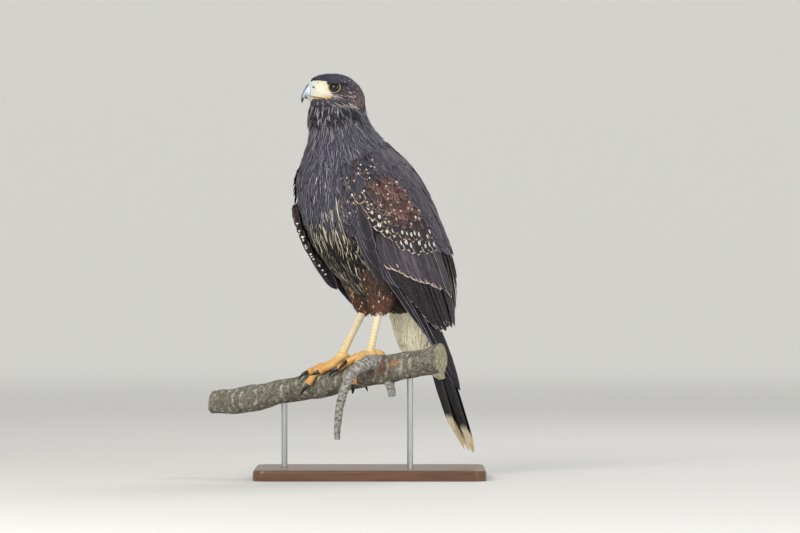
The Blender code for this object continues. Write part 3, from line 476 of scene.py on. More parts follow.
def look(count, ground, edging=None, edge=0.0, mark=None, shape=(0.0, 0.0, 0.0), uneven=0.1, weights=(1.0, 1.0)):
    """Colours of so many feathers: ground, rim with its width, and a mark with the centre, half length and
    half width of its oval, both in half widths of the feather and measured back from its tip. The weights
    widen or narrow the rim at the sides and at the tip."""
    ground = np.broadcast_to(ground, (count, 4)) * (1 + uneven * rng.normal(size=(count, 1)))
    edging = np.broadcast_to(TINT["slate light"] if edging is None else edging, (count, 4)).copy()
    edging[:, 3] = edge
    mark = np.broadcast_to(TINT["cream"] if mark is None else mark, (count, 4)).copy()
    mark[:, 3] = rng.random(count)
    ovals = np.zeros((count, 4))
    ovals[:, 0], ovals[:, 1], ovals[:, 2] = (np.asarray(v, float) for v in shape)
    ovals[:, 2] *= ovals[:, 1] > 0
    ovals[:, 3] = weights[1]
    ground = np.clip(ground, 0, 1)
    ground[:, 3] = weights[0]
    return {"ground": ground, "edging": edging, "mark": mark, "oval": ovals}


def feathers(name, spine, up, half_width, material, slot, colours, bake, outline="round", columns=3, tilt=0.0,
             arch=12.0, thick=0.22, ragged=0.06, place=bird, mirrored=False, patch=(PATCH, PATCH), replaced=()):
    """One piece of many feathers. Each runs along its spine (count, rings, 3) with its upper side to up."""
    count, rings = spine.shape[:2]
    faces, ring, column, side = template(rings, columns)
    along = unit(np.gradient(spine, axis=1))
    across = unit(np.cross(up, along))
    share = np.linspace(-1, 1, columns)[column]
    knots, values = OUTLINES[outline]
    width = half_width[:, None] * np.interp(np.linspace(0, 1, rings), knots, values)
    width = width * (1 + ragged * rng.normal(size=width.shape))
    x = width[:, ring] * share
    arch = np.broadcast_to(np.asarray(arch, float), (count,))[:, None]
    rise = -tilt * x - x**2 / (2 * arch) + thick * side * (1 - share**2)
    points = spine[:, ring] + across[:, ring] * x[..., None] + up[:, ring] * rise[..., None]
    steps = np.linalg.norm(np.diff(spine, axis=1), axis=-1)
    walked = np.concatenate([np.zeros((count, 1)), np.cumsum(steps, axis=1)], 1)
    from_tip = (walked[:, -1:] - walked)[:, ring] / half_width[:, None]
    vane = np.stack([np.broadcast_to(share, from_tip.shape), from_tip], -1)
    corner = np.stack([(share + 1) / 2 * patch[0], ring / (rings - 1) * patch[1]], -1)
    baked = np.clip(bake, 0.0, 0.99)[:, None] + corner
    if mirrored:
        points = points * (1, -1, 1)
        faces = faces[:, ::-1]
    faces = faces + (np.arange(count) * len(ring))[:, None, None]
    looks = {key: np.repeat(values, len(ring), axis=0) for key, values in colours.items()}
    maps = {"vane": vane.reshape(-1, 2), "OFBake": baked.reshape(-1, 2)}
    return piece(name, place(points).reshape(-1, 3), faces.reshape(-1, 4), material, replaced, 50.0, looks, maps)


def staggered(levels, round_length, spacing, low=-np.pi, high=np.pi, loose=0.25):
    """Places in rows at these levels, between two angles, each row half a step from the last and jittered."""
    level, angle = [], []
    low, high = (np.broadcast_to(v, levels.shape) for v in (low, high))
    for i, (row, whole, step) in enumerate(zip(levels, round_length, np.broadcast_to(spacing, levels.shape))):
        count = max(int(whole * (high[i] - low[i]) / (2 * np.pi) / step), 1)
        share = (np.arange(count) + 0.5 * (i % 2) + loose * rng.normal(size=count)) / count
        angle.append(low[i] + (high[i] - low[i]) * share)
        level.append(np.full(count, row) + loose * rng.normal(size=count) * (levels[1] - levels[0]))
    return np.concatenate(level), np.concatenate(angle)


def laid(t, angle, length, turn, root, tip, rings, table=TRUNK):
    """Spines down the trunk: from a height under its surface to one at it, turning aside as they go."""
    share = np.linspace(0, 1, rings)
    t, angle, length, turn, root, tip = (np.broadcast_to(v, t.shape)[:, None] for v in (t, angle, length, turn, root, tip))
    tt = np.minimum(t + length / TRUNK_LENGTH * share, table[-1, 0])
    aa = angle + turn * share
    hh = root + (tip - root) * share**0.8
    spine = trunk(tt, aa, hh, table)
    return spine, unit(trunk(tt, aa, hh + 1.0, table) - spine)


def feather_material(name, barbs, shaft, contrast, **sockets):
    """Vanes of barbs: fine slanting streaks across the ground colour, painted shade across each vane, a paler rim, a
    mark and a shaft.

    The vane map runs from -1 to 1 across, and back from the tip in half widths along."""
    material, tree, shader = new_material(name, **sockets)
    place = add(tree, "SeparateXYZ", {0: add(tree, "UVMap", uv_map="vane").outputs["UV"]})
    across = add(tree, "Math", {0: place.outputs["X"]}, operation="ABSOLUTE").outputs[0]
    from_tip = place.outputs["Y"]
    ground = add(tree, "Attribute", attribute_name="ground")
    edging = add(tree, "Attribute", attribute_name="edging")
    mark = add(tree, "Attribute", attribute_name="mark")
    shape = add(tree, "Attribute", attribute_name="oval")
    oval = add(tree, "SeparateXYZ", {0: shape.outputs["Vector"]})

    slant = add(tree, "Math", {0: across, 1: 0.9, 2: from_tip}, operation="MULTIPLY_ADD").outputs[0]
    side_by_side = add(tree, "Math", {0: place.outputs["X"], 1: 5.0}, operation="MULTIPLY").outputs[0]
    seed = add(tree, "Math", {0: mark.outputs["Alpha"], 1: 40.0}, operation="MULTIPLY").outputs[0]
    barb_place = add(tree, "CombineXYZ", {"X": add(tree, "Math", {0: slant, 1: barbs}, operation="MULTIPLY").outputs[0],
                                          "Y": side_by_side, "Z": seed})
    barb = add(tree, "TexNoise", {"Vector": barb_place.outputs[0], "Scale": 1.0, "Detail": 3.0, "Roughness": 0.6})
    tone = add(tree, "MapRange", {"Value": barb.outputs["Fac"], 1: 0.33, 2: 0.67, 3: 1 - 0.62 * contrast,
                                 4: 1 + 0.65 * contrast})
    # Painted shade across each vane: darker toward its rear edge, where it tucks under its neighbour, and lighter
    # toward its leading edge. The paler tone toward both edges is added to it.
    painted_shade_across = add(tree, "MapRange", {"Value": place.outputs["X"], 1: -1.0, 2: 1.0, 3: 1.12, 4: 0.72})
    rim_and_shade_across = add(tree, "Math", {0: across, 1: across, 2: painted_shade_across.outputs[0]}, operation="MULTIPLY_ADD").outputs[0]
    tone = add(tree, "Math", {0: tone.outputs[0], 1: rim_and_shade_across}, operation="MULTIPLY")
    tone = add(tree, "Math", {0: tone.outputs[0], 1: 0.82}, operation="MULTIPLY")
    streaked = add(tree, "VectorMath", {0: ground.outputs["Color"], "Scale": tone.outputs[0]}, operation="SCALE")

    side = add(tree, "Math", {0: 1.0, 1: across}, operation="SUBTRACT").outputs[0]
    widening = add(tree, "MapRange", {"Value": from_tip, 1: 0.5, 2: 1.3, 3: 1.0, 4: ground.outputs["Alpha"]})
    side = add(tree, "Math", {0: side, 1: widening.outputs[0]}, operation="DIVIDE").outputs[0]
    tip = add(tree, "Math", {0: from_tip, 1: shape.outputs["Alpha"]}, operation="DIVIDE").outputs[0]
    rim = add(tree, "Math", {0: side, 1: tip}, operation="MINIMUM").outputs[0]
    fray = add(tree, "MapRange", {"Value": barb.outputs["Fac"], 1: 0.2, 2: 0.8, 3: -0.6, 4: 0.6}).outputs[0]
    frayed = add(tree, "Math", {0: fray, 1: edging.outputs["Alpha"], 2: rim}, operation="MULTIPLY_ADD").outputs[0]
    inner = add(tree, "Math", {0: edging.outputs["Alpha"], 1: 0.6}, operation="MULTIPLY").outputs[0]
    at_rim = add(tree, "MapRange", {"Value": frayed, 1: inner, 2: edging.outputs["Alpha"], 3: 1.0, 4: 0.0},
                 interpolation_type="SMOOTHSTEP")
    has_rim = add(tree, "Math", {0: edging.outputs["Alpha"], 1: 0.01}, operation="GREATER_THAN").outputs[0]
    at_rim = add(tree, "Math", {0: at_rim.outputs[0], 1: has_rim}, operation="MULTIPLY").outputs[0]
    rimmed = add(tree, "Mix", {0: at_rim, 6: streaked.outputs[0], 7: edging.outputs["Color"]}, data_type="RGBA")

    off_centre = add(tree, "Math", {0: from_tip, 1: oval.outputs["X"]}, operation="SUBTRACT").outputs[0]
    lengthwise = add(tree, "Math", {0: off_centre, 1: oval.outputs["Y"]}, operation="DIVIDE").outputs[0]
    crosswise = add(tree, "Math", {0: across, 1: oval.outputs["Z"]}, operation="DIVIDE").outputs[0]
    square = add(tree, "Math", {0: lengthwise, 1: 2.0}, operation="POWER").outputs[0]
    away = add(tree, "Math", {0: crosswise, 1: crosswise, 2: square}, operation="MULTIPLY_ADD").outputs[0]
    away = add(tree, "Math", {0: barb.outputs["Fac"], 1: 1.6, 2: away}, operation="MULTIPLY_ADD").outputs[0]
    in_mark = add(tree, "MapRange", {"Value": away, 1: 1.35, 2: 2.0, 3: 1.0, 4: 0.0},
                  interpolation_type="SMOOTHSTEP")
    has_mark = add(tree, "Math", {0: oval.outputs["Z"], 1: 0.01}, operation="GREATER_THAN").outputs[0]
    in_mark = add(tree, "Math", {0: in_mark.outputs[0], 1: has_mark}, operation="MULTIPLY").outputs[0]
    marked = add(tree, "Mix", {0: in_mark, 6: rimmed.outputs[2], 7: mark.outputs["Color"]}, data_type="RGBA")

    at_shaft = add(tree, "MapRange", {"Value": across, 1: 0.03, 2: 0.08, 3: shaft, 4: 0.0})
    done = add(tree, "Mix", {0: at_shaft.outputs[0], 6: marked.outputs[2], 7: linear("#17130f")}, data_type="RGBA")
    tree.links.new(done.outputs[2], shader.inputs["Base Color"])
    bump = add(tree, "Bump", {"Height": barb.outputs["Fac"], "Strength": 0.35, "Distance": 0.0004})
    tree.links.new(bump.outputs["Normal"], shader.inputs["Normal"])
    return material


body_vanes = feather_material("contour feather vanes", 0.8, 0.25, 1.0, roughness=0.66, specular_ior_level=0.3,
                              sheen_weight=0.04)


# The coat of the trunk: small narrow feathers on the neck, larger on breast and back, and long loose ones on
# the belly, black with cream edges that show as streaks. Under the folded wings there is only down.
def trunk_coat(name, first, last, rows):
    """One piece of the trunk's coat between two shares of its length, its rows so far apart."""
    levels = np.arange(first, last, rows)
    radii = spline(TRUNK[:, 0], TRUNK[:, 3:6], levels).mean(-1)
    t, angle = staggered(levels, 2 * np.pi * radii, np.interp(levels, (0, 0.3, 0.6), (2.2, 3.5, 4.0)))
    covered = (t > 0.43) & (np.abs(angle) > 1.2) & (np.abs(angle) < 2.6)
    t, angle = t[~covered], angle[~covered]
    in_skull = unbird(bird(trunk(t, angle)), HEAD_YAW, HEAD_AT)
    inside = (((in_skull + (0, 0, 3)) / (26, 18, 18)) ** 2).sum(-1) < 1
    t, angle = t[~inside], angle[~inside]
    count = len(t)
    away = np.abs(angle)
    front = smooth(1.6, 1.1, away)
    belly = front * smooth(0.42, 0.55, t + 0.02 * np.sin(7 * angle))
    length = np.interp(t, (0, 0.12, 0.25, 0.5, 0.8), (13, 16, 20, 33, 40)) * (1 + 0.12 * rng.normal(size=count))
    half_width = np.interp(t, (0, 0.25, 0.5, 0.8), (1.4, 2.2, 2.9, 3.0)) * (1 + 0.12 * rng.normal(size=count))
    half_width = half_width * (1 + 0.7 * smooth(1.7, 2.3, away) * smooth(0.1, 0.3, t))
    lift = 0.3 + 0.9 * np.abs(rng.normal(size=count)) * smooth(0.1, 0.3, t)
    length = np.minimum(length, np.maximum((0.93 + 0.07 * rng.random(count) - t) * TRUNK_LENGTH, 10.0))
    turn = 0.07 * rng.normal(size=count) - 0.06 * np.sin(angle) * smooth(0.3, 0.5, t) * front
    spine, up = laid(t, angle, length, turn, -COAT_DEPTH, lift - 0.8, 6)
    dice = rng.random((3, count))
    ground = ground_of_trunk(t, angle)
    edging = blend(ground * 1.6, ground * 2.6 + 0.02 * (1 - belly)[:, None], dice[1])
    edging = blend(edging, TINT["cream"] * 0.7, belly * (dice[0] > 0.7) * smooth(0.86, 0.80, t))
    edge = 0.26 + 0.15 * dice[2]
    colours = look(count, ground, edging, edge, uneven=0.16, weights=(1.0, 0.25))
    bake = np.stack([0.02 + 0.95 * (angle + np.pi) / (2 * np.pi), 0.02 + 0.95 * t], -1)
    feathers(name, spine, up, half_width, body_vanes, "plumage", colours, bake, "lance", arch=6.0)
    print(name, count)


def streaks(name, count, first, last, half_angle, length, half_width, tint, spread=0.25, lift=0.9):
    """One piece of narrow plumes strewn over the coat between two shares of the trunk's length."""
    t = first + (last - first) * rng.random(count)
    angle = half_angle * (2 * (rng.permutation(count) + rng.random(count)) / count - 1)
    length = length * (1 + 0.2 * rng.normal(size=count))
    turn = 0.06 * rng.normal(size=count) - 0.06 * np.sin(angle) * smooth(0.3, 0.5, t)
    spine, up = laid(t, angle, length, turn, -2.5, lift + 0.6 * rng.random(count), 8)
    half_width = half_width * (1 + 0.25 * rng.normal(size=count))
    tint = blend(tint, np.array(tint) * 0.45, rng.random(count) ** 2)
    colours = look(count, tint, tint * 0.3, 0.25, uneven=spread, weights=(1.0, 0.25))
    bake = np.stack([0.02 + 0.95 * (angle + np.pi) / (2 * np.pi), 0.02 + 0.95 * t], -1)
    feathers(name, spine, up, np.clip(half_width, 0.3, 3.0), body_vanes, "plumage", colours, bake, "lance", arch=3.0,
             thick=0.15)


trunk_coat("coat_neck", 0.0, 0.27, 0.0115)
trunk_coat("coat_body", 0.27, 0.90, 0.0175)
streaks("streaks_neck", 900, 0.06, 0.46, 2.3, 17.0, 0.55, TINT["slate light"] * 1.5)
streaks("streaks_throat", 200, 0.03, 0.44, 1.9, 15.0, 0.5, TINT["throat edge"] * 0.75)
streaks("streaks_nape", 150, 0.02, 0.13, 2.7, 12.0, 0.5, TINT["cheek edge"] * 0.7)
streaks("streaks_breast", 26, 0.10, 0.42, 1.0, 18.0, 0.75, TINT["throat edge"])
pale_cream = blend(TINT["cream"], TINT["white"], 0.35)
streaks("streaks_flank", 60, 0.41, 0.55, 1.1, 30.0, 1.0, pale_cream)
streaks("streaks_belly", 150, 0.50, 0.84, 1.0, 24.0, 0.75, pale_cream)


# The coat of the head: tiny pointed feathers, swept back over crown and cheeks and down the throat and nape.
# None grow on the bare lores, the eyelids or where the neck begins.
def bare_edge(angle):
    """How far forward the feathers come, by the angle from the crown: the bare lores reach nearly to the eye."""
    degrees = np.degrees(np.abs(angle))
    return np.interp(degrees, (0, 33, 40, 46, 53, 60, 76, 90, 102, 112, 117, 121, 130, 180),
                     (36.5, 36.5, 33, 28.5, 21.5, 15.5, 13.5, 11.5, 9.5, 11, 16, 27, 34, 34.5))


def flow(place):
    """The way that head feathers point: back over the crown, and down at nape and throat."""
    f, l, z = np.moveaxis(place, -1, 0)
    behind = smooth(-8, -30, f) * (0.3 + 0.7 * smooth(13, -5, z))
    under = smooth(-7, -17, z) * smooth(-28, -4, f)
    chin = smooth(8, 22, f) * smooth(-8, -14, z)
    back = -1 + 0.72 * behind + 0.6 * under + 0.35 * chin
    return np.stack([back, 0.03 * l, -0.16 * smooth(12, 4, z) - 1.2 * behind - 0.9 * under - 0.9 * chin], -1)


def clear_of_neck(place, margin):
    """Places in the head's frame, moved out where they would lie inside the neck."""
    f, l, z = np.moveaxis(unbird(head(place)), -1, 0)
    rows = spline(TRUNK[:, 0], TRUNK[:, 1:6], np.interp(-z, -TRUNK[:, 2], TRUNK[:, 0]))
    off = f - rows[..., 0]
    size = np.hypot(off / np.where(off > 0, rows[..., 2], rows[..., 3]), l / rows[..., 4])
    wanted = 1 + margin / rows[..., 4]
    more = 0.06 * np.logaddexp(0, (wanted - size) / 0.06) * smooth(496, 488, z) / np.maximum(size, 0.2)
    moved = np.stack([off * more, l * more, 0 * z], -1)
    return place + unbird(bird(moved), HEAD_YAW)


def combed(u, angle, length, root, tip, stray):
    """Spines that walk over the skull the way the feathers flow, from one height over it to another."""
    count = len(u)
    uu, aa, path = u.copy(), angle.copy(), []
    for _ in range(HEAD_RINGS):
        path.append((uu, aa))
        here = skull(uu, aa)
        by_u, by_a = (skull(uu + 1e-3, aa) - here) * 1e3, (skull(uu, aa + 1e-3) - here) * 1e3
        way = flow(here) + stray
        uu_uu, uu_aa, aa_aa = (by_u * by_u).sum(-1), (by_u * by_a).sum(-1), (by_a * by_a).sum(-1)
        way_u, way_a = (way * by_u).sum(-1), (way * by_a).sum(-1)
        whole = np.maximum(uu_uu * aa_aa - uu_aa**2, 1e-6)
        step_u, step_a = (aa_aa * way_u - uu_aa * way_a) / whole, (uu_uu * way_a - uu_aa * way_u) / whole
        pace = length / (HEAD_RINGS - 1) / np.linalg.norm(by_u * step_u[:, None] + by_a * step_a[:, None], axis=-1)
        uu, aa = np.clip(uu + step_u * pace, 0.003, 0.97), aa + np.clip(step_a * pace, -0.3, 0.3)
    uu, aa = (np.stack(part, -1) for part in zip(*path))
    hh = root + (np.broadcast_to(tip, (count,))[:, None] - root) * np.linspace(0, 1, HEAD_RINGS) ** 0.6
    spine = clear_of_neck(skull(uu, aa, hh), 0.6)
    along = unit(np.gradient(spine, axis=1))
    up = clear_of_neck(skull(uu, aa, hh + 1.0), 1.6) - spine
    return spine, unit(up - along * (up * along).sum(-1, keepdims=True))


HEAD_RINGS = 6
levels = np.linspace(0.03, 0.95, 46)
rows = spline(np.linspace(0, 1, len(SKULL)), SKULL, levels)
girth = np.pi * ((rows[:, 1] - rows[:, 2]) / 2 + rows[:, 3])
u, angle = staggered(levels, girth, 1.75)
u = np.clip(u, 0.005, 0.96)
roots = skull(u, angle)
f, l, z = np.moveaxis(roots, -1, 0)
eye = np.stack([np.full_like(f, EYE_AT[0]), np.sign(l) * EYE_AT[1], np.full_like(f, EYE_AT[2])], -1)
axis = unit(np.stack([np.full_like(f, EYE_AXIS[0]), np.sign(l) * EYE_AXIS[1], np.full_like(f, EYE_AXIS[2])], -1))
offset = roots - eye
from_eye = np.linalg.norm(offset - axis * (offset * axis).sum(-1, keepdims=True), axis=-1)
grows = (f < bare_edge(angle)) & ((from_eye > 8.2) | (np.abs(l) < 8)) & (z > -15 - 3 * smooth(10, 28, f))
u, angle, roots = u[grows], angle[grows], roots[grows]
f, l, z = np.moveaxis(roots, -1, 0)
count = len(u)
under = smooth(-9, -15, z) * smooth(-10, 10, f)
length = np.interp(-f, (-33, -15, 10, 34), (3.6, 5.2, 7.5, 12)) * (1 + 0.1 * rng.normal(size=count))
length = length + 4.0 * under
lift = 0.25 + 0.35 * np.abs(rng.normal(size=count)) + 0.6 * under
spine, up = combed(u, angle, length, -HEAD_COAT_DEPTH, lift, 0.08 * rng.normal(size=(count, 3)))
half_width = (0.8 + 0.07 * length) * (1 + 0.12 * rng.normal(size=count))
dice = rng.random((3, count))
crown = smooth(7, 12, z) * smooth(-30, -16, f)
cheek = smooth(9, 1, z) * smooth(16, 9, f) * smooth(-32, -20, f)
nape = smooth(-12, -26, f)
ground = blend(TINT["cheek"] * 0.45, TINT["crown"], crown)
ground = blend(ground, TINT["slate"] * 0.4, under)
ground = blend(ground, TINT["nape"] * 0.8, nape * 0.7)
pale_patch = np.exp(-(((f - 10) / 5) ** 2) - ((z + 8) / 4) ** 2)
ground = blend(ground, TINT["throat edge"], 0.5 * pale_patch)
edging = blend(ground * 1.9 + 0.01, TINT["crown edge"], crown * (0.4 + 0.6 * dice[1]))
edging = blend(edging, TINT["cheek edge"] * 0.35, cheek * (dice[0] > 0.7))
edging = blend(edging, TINT["slate"] * 0.6, 0.8 * under)
edging = blend(edging, TINT["nape edge"] * 0.8, nape * (dice[1] > 0.5) * 0.8)
edge = 0.25 + 0.2 * dice[2] * np.maximum(cheek, under)
colours = look(count, ground, edging, edge, uneven=0.12, weights=(1.0, 0.3))
bake = np.stack([0.02 + 0.95 * (angle + np.pi) / (2 * np.pi), 0.02 + 0.95 * u], -1)
feathers("coat_head", spine, up, half_width, body_vanes, "plumage", colours, bake, "pointed", arch=3.5, thick=0.1,
         place=head)

# Short plumes hang over the nape, where the rows of the head's coat run together and would leave it bare.
row, column = np.meshgrid(np.arange(7), np.arange(9), indexing="ij")
l = (2.0 * (column - 4) + row % 2 + 0.4 * rng.normal(size=row.shape)).ravel()[:, None]
z = (-3.5 - 2.4 * row + 0.4 * rng.normal(size=row.shape)).ravel()[:, None]
count = len(l)
share = np.linspace(0, 1, HEAD_RINGS)
f = -32.6 + 0.02 * l**2 - (2.3 + 0.5 * rng.random((count, 1))) * share**0.7
spine = clear_of_neck(np.stack(np.broadcast_arrays(f, l * (1 + 0.1 * share), z - 7.5 * share), -1), 1.4)
along = unit(np.gradient(spine, axis=1))
up = unit(np.array((-1.0, 0.0, 0.0)) + along * along[..., :1])
ground = blend(TINT["cheek"] * 0.45, TINT["nape"] * 0.8, 0.7)
edging = blend(ground * 1.9, TINT["nape edge"] * 0.8, rng.random(count) > 0.5)
colours = look(count, ground, edging, 0.3, uneven=0.12, weights=(1.0, 0.3))
bake = np.concatenate([0.5 + 0.02 * l, 0.5 + 0.02 * z], -1)
feathers("coat_nape", spine, up, np.full(count, 1.5), body_vanes, "plumage", colours, bake, "pointed", arch=3.5,
         thick=0.1, place=head)


def face_streaks(name, front, back, low, high, apart, length, half_width, tint):
    """One piece of pale plumes on the head's coat, in rows so far apart, between two places along it and two
    angles on each side. A millimetre round the skull is some three degrees."""
    row, f = np.meshgrid(np.arange(low, high, 3.0 * apart), np.arange(front, back, -2.2 * apart), indexing="ij")
    f = f + 1.1 * apart * (np.arange(len(f)) % 2)[:, None]
    f, row = np.tile(f.ravel(), 2), np.tile(row.ravel(), 2)
    f = f + 0.3 * apart * rng.normal(size=len(f))
    u = np.interp(-f, -SKULL[:, 0], np.linspace(0, 1, len(SKULL)))
    angle = np.radians(row + 0.5 * apart * rng.normal(size=len(f))) * np.repeat((1, -1), len(f) // 2)
    root = skull(u, angle)
    near = np.hypot(root[:, 0] - EYE_AT[0] - 1.5, root[:, 2] - EYE_AT[2]) < 10.5
    u, angle = u[~near], angle[~near]
    count = len(u)
    length = length * (1 + 0.15 * rng.normal(size=count))
    spine, up = combed(u, angle, length, -0.8, 0.8 + 0.4 * rng.random(count), 0.06 * rng.normal(size=(count, 3)))
    tint = blend(tint, np.array(tint) * 0.45, rng.random(count) ** 1.5)
    colours = look(count, tint, tint * 0.3, 0.2, uneven=0.1, weights=(1.0, 0.3))
    bake = np.stack([0.02 + 0.95 * (angle + np.pi) / (2 * np.pi), 0.02 + 0.95 * u], -1)
    half_width = np.clip(half_width * (1 + 0.25 * rng.normal(size=count)), 0.25, 2.0)
    feathers(name, spine, up, half_width, body_vanes, "plumage", colours, bake, "pointed", arch=2.5, thick=0.1,
             place=head)


face_streaks("streaks_cheek", 9.0, -17.0, 88.0, 128.0, 2.5, 9.5, 0.7, TINT["cheek edge"] * 1.15)
face_streaks("streaks_jaw", 31.0, -6.0, 116.0, 136.0, 2.4, 9.0, 0.6, TINT["throat edge"] * 0.8)
face_streaks("streaks_temple", -10.0, -31.0, 38.0, 96.0, 3.6, 6.0, 0.65, blend(TINT["nape edge"] * 1.6, TINT["white"], 0.15))
face_streaks("streaks_crown", 31.0, -22.0, 3.0, 56.0, 2.2, 7.0, 0.4, TINT["crown edge"] * 1.7)

# Throat plumes are rooted under jaw and chin and hang straight down over the top of the neck.
u = np.interp(-(34 - 46 * rng.random(620)), -SKULL[:, 0], np.linspace(0, 1, len(SKULL)))
angle = np.radians(121 + 57 * rng.random(620) ** 0.8) * np.where(rng.random(620) > 0.5, 1, -1)
angle = np.where(u < 0.2, np.sign(angle) * np.maximum(np.abs(angle), np.radians(132)), angle)
root = unbird(head(skull(u, angle, -0.8)))
fore = np.abs(np.arctan2(root[:, 1], root[:, 0] - 52.0)) < 1.75
u, angle, root = u[fore], angle[fore], root[fore]
count = len(u)
f, l, z = (v[:, None] for v in np.moveaxis(root, -1, 0))
length = 15.0 + 7.0 * rng.random((count, 1))
share = np.linspace(0, 1, 9)
t = np.interp(-z, -TRUNK[:, 2], TRUNK[:, 0])
around_neck = np.arctan2(l, f - 52.0)
on_neck = trunk(t + length / TRUNK_LENGTH * share, around_neck + 0.05 * rng.normal(size=(count, 1)) * share,
                1.7 + 1.2 * rng.random((count, 1)))
falling = np.stack([f + 0 * share, l + 0 * share, z - length * share], -1)
spine = on_neck + (falling - on_neck) * smooth(0.65, 0.0, share)[:, None]
up = unit((spine - np.array((50.0, 0.0, 0.0))) * (1, 1, 0))
front = smooth(1.7, 1.0, np.abs(around_neck[:, 0]))
white = (rng.random(count) > 0.66) * front
ground = blend(TINT["slate"] * 0.4, TINT["throat edge"], white * (0.5 + 0.5 * rng.random(count)))
colours = look(count, ground, ground * 0.4, 0.25, uneven=0.12, weights=(1.0, 0.3))
bake = np.stack([0.02 + 0.95 * (angle + np.pi) / (2 * np.pi), 0.02 + 0.95 * u], -1)
half_width = np.where(white > 0.3, 0.75, 1.3) * (1 + 0.2 * rng.normal(size=count))
feathers("coat_throat", spine, up, half_width, body_vanes, "plumage", colours, bake, "lance", arch=3.0, thick=0.12)

for name, side in (("left", 1), ("right", -1)):
    share, angle = staggered(np.linspace(-0.05, 0.86, 13), np.full(13, 30.0), 1.9, -0.9, 2.3)
    share = np.clip(share, 0.0, 0.9)
    count = len(share)
    along = np.minimum(share[:, None] + np.linspace(0, 0.24, 5), 1.0)
    turned = angle[:, None] + np.linspace(0, 0.25, 5) * np.sign(0.6 - angle[:, None])
    hh = -0.8 + (0.9 + 0.2 * rng.random((count, 1))) * np.linspace(0, 1, 5) ** 0.6
    spine = brow(1, along, turned, hh)
    up = unit(brow(1, along, turned, hh + 1.0) - spine)
    # The brow's underside is painted darker and nearly without rims: painted shade under the brow, over the eye.
    shaded_underside = smooth(1.3, 2.0, angle)
    ground = blend(TINT["crown"], TINT["crown"] * 0.35, shaded_underside)
    colours = look(count, ground, TINT["crown edge"], 0.25 * (1 - shaded_underside) + 0.02, weights=(1.0, 0.3))
    bake = np.stack([0.1 + 0.8 * share, 0.1 + 0.8 * (angle + 0.9) / 3.2], -1)
    feathers("brow_" + name, spine, up, 1.2 * (1 + 0.1 * rng.normal(size=count)), body_vanes, "plumage", colours, bake,
             "pointed", arch=3.0, thick=0.1, place=head, mirrored=side < 0)


# Trousers: soft chestnut feathers with buff spots hang over each shank to just above the bare leg.
for name, leg in LEGS.items():
    levels = np.linspace(0.30, 0.93, 20)
    girth = 2 * np.pi * spline(np.linspace(0, 1, len(THIGH_RADII)), THIGH_RADII, levels).mean(-1)
    s, angle = staggered(levels, girth, 3.4)
    s = np.clip(s, 0.0, 0.96)
    count = len(s)
    share = np.linspace(0, 1, 6)
    reach = (0.27 + 0.04 * rng.normal(size=count)) * np.interp(s, (0.3, 0.9, 1.0), (1.0, 0.75, 0.6))
    ss = np.minimum(s + reach, 0.90 + 0.18 * rng.random(count))[:, None]
    ss = s[:, None] + np.maximum(ss - s[:, None], 0.06) * share
    aa = angle[:, None] + 0.12 * rng.normal(size=(count, 1)) * share
    hh = -3.2 + (3.0 + 1.0 * rng.random((count, 1))) * share**0.7 - 26.0 * np.maximum(ss - 0.96, 0)
    spine = thigh(leg, ss, aa, hh)
    up = unit(thigh(leg, ss, aa, hh + 1.0) - spine)
    half_width = (2.7 + 0.4 * rng.normal(size=count)) * np.interp(s, (0.3, 1.0), (1.15, 0.8))
    spotted = rng.random(count) > 0.88
    middle = spine[:, 0, 1].mean()
    inward = smooth(3.0, -6.0, np.sign(middle) * (spine[:, 0, 1] - middle)) * smooth(-4, 4, spine[:, 0, 0] - spine[:, 0, 0].mean())
    dark = np.maximum(smooth(0.68, 0.50, s), 0.95 * inward * smooth(0.94, 0.80, s))
    ground = blend(TINT["chestnut"], TINT["vent"], dark)
    edging = blend(TINT["brick"] * 0.8, TINT["buff"], 0.2 * rng.random(count))
    colours = look(count, ground, edging, 0.22, TINT["buff"], (1.1, 0.7 * spotted, 0.6 * spotted), 0.16)
    bake = np.stack([0.02 + 0.95 * (angle + np.pi) / (2 * np.pi), 0.02 + 0.95 * s], -1)
    feathers("trousers_" + name, spine, up, half_width, body_vanes, "trousers", colours, bake, "lance", arch=5.0)


# The folded wings. Each has a fleshy arm along its front edge, which carries rows of stiff feathers laid over
# one another like slates. Those nearer to the back lie over those in front, and coverts hide their roots.
WING = np.array([
    [0.30, 38, 420, 66, 56, 60],
    [0.40, 29, 396, 79, 64, 69],
    [0.54, 10, 360, 87, 77, 74],
    [0.68, -9, 322, 83, 83, 74],
    [0.80, -24, 288, 69, 85, 71],
    [0.95, -46, 248, 50, 84, 62],
    [1.10, -68, 208, 36, 71, 52],
    [1.25, -92, 168, 24, 41, 40],
    [1.40, -115, 128, 14, 22, 30],
    [1.50, -128, 104, 10, 13, 26],
])
ARM_COAT = 3.2


def wing_front(t):
    """The angle at which the folded wing's front edge lies."""
    return np.radians(np.interp(t, (0.3, 0.5, 0.8, 0.9, 1.0), (58, 47, 47, 56, 62)))


def wing_back(t):
    return np.radians(np.interp(t, (0.3, 0.45, 0.65, 0.75), (92, 142, 164, 164)))


def arm_height(t, angle):
    """How far the fleshy arm stands out: most at the wrist and front edge, little at the back."""
    front = np.interp(t, (0.3, 0.42, 0.6, 0.75), (2.0, 7.5, 7.5, 5.0))
    back = np.interp(t, (0.3, 0.45, 0.75), (0.8, 2.0, 3.0))
    share = np.clip((np.degrees(angle) - 92) / 30, 0, 1)
    edge = np.clip((66 - np.degrees(angle)) / 16, 0, 1) * np.interp(t, (0.4, 0.6, 0.75), (0, 5, 6))
    return front + (back - front) * share + edge


def raised(tips):
    """The right wing is folded higher, so its long feathers lie nearer to the tail."""
    t, degrees = tips[:, 0], tips[:, 1]
    more = np.interp(t, (0.9, 1.1, 1.3, 1.5), (4, 52, 50, 44)) * (150 - degrees) / 90
    return np.stack([t, degrees + more], -1)


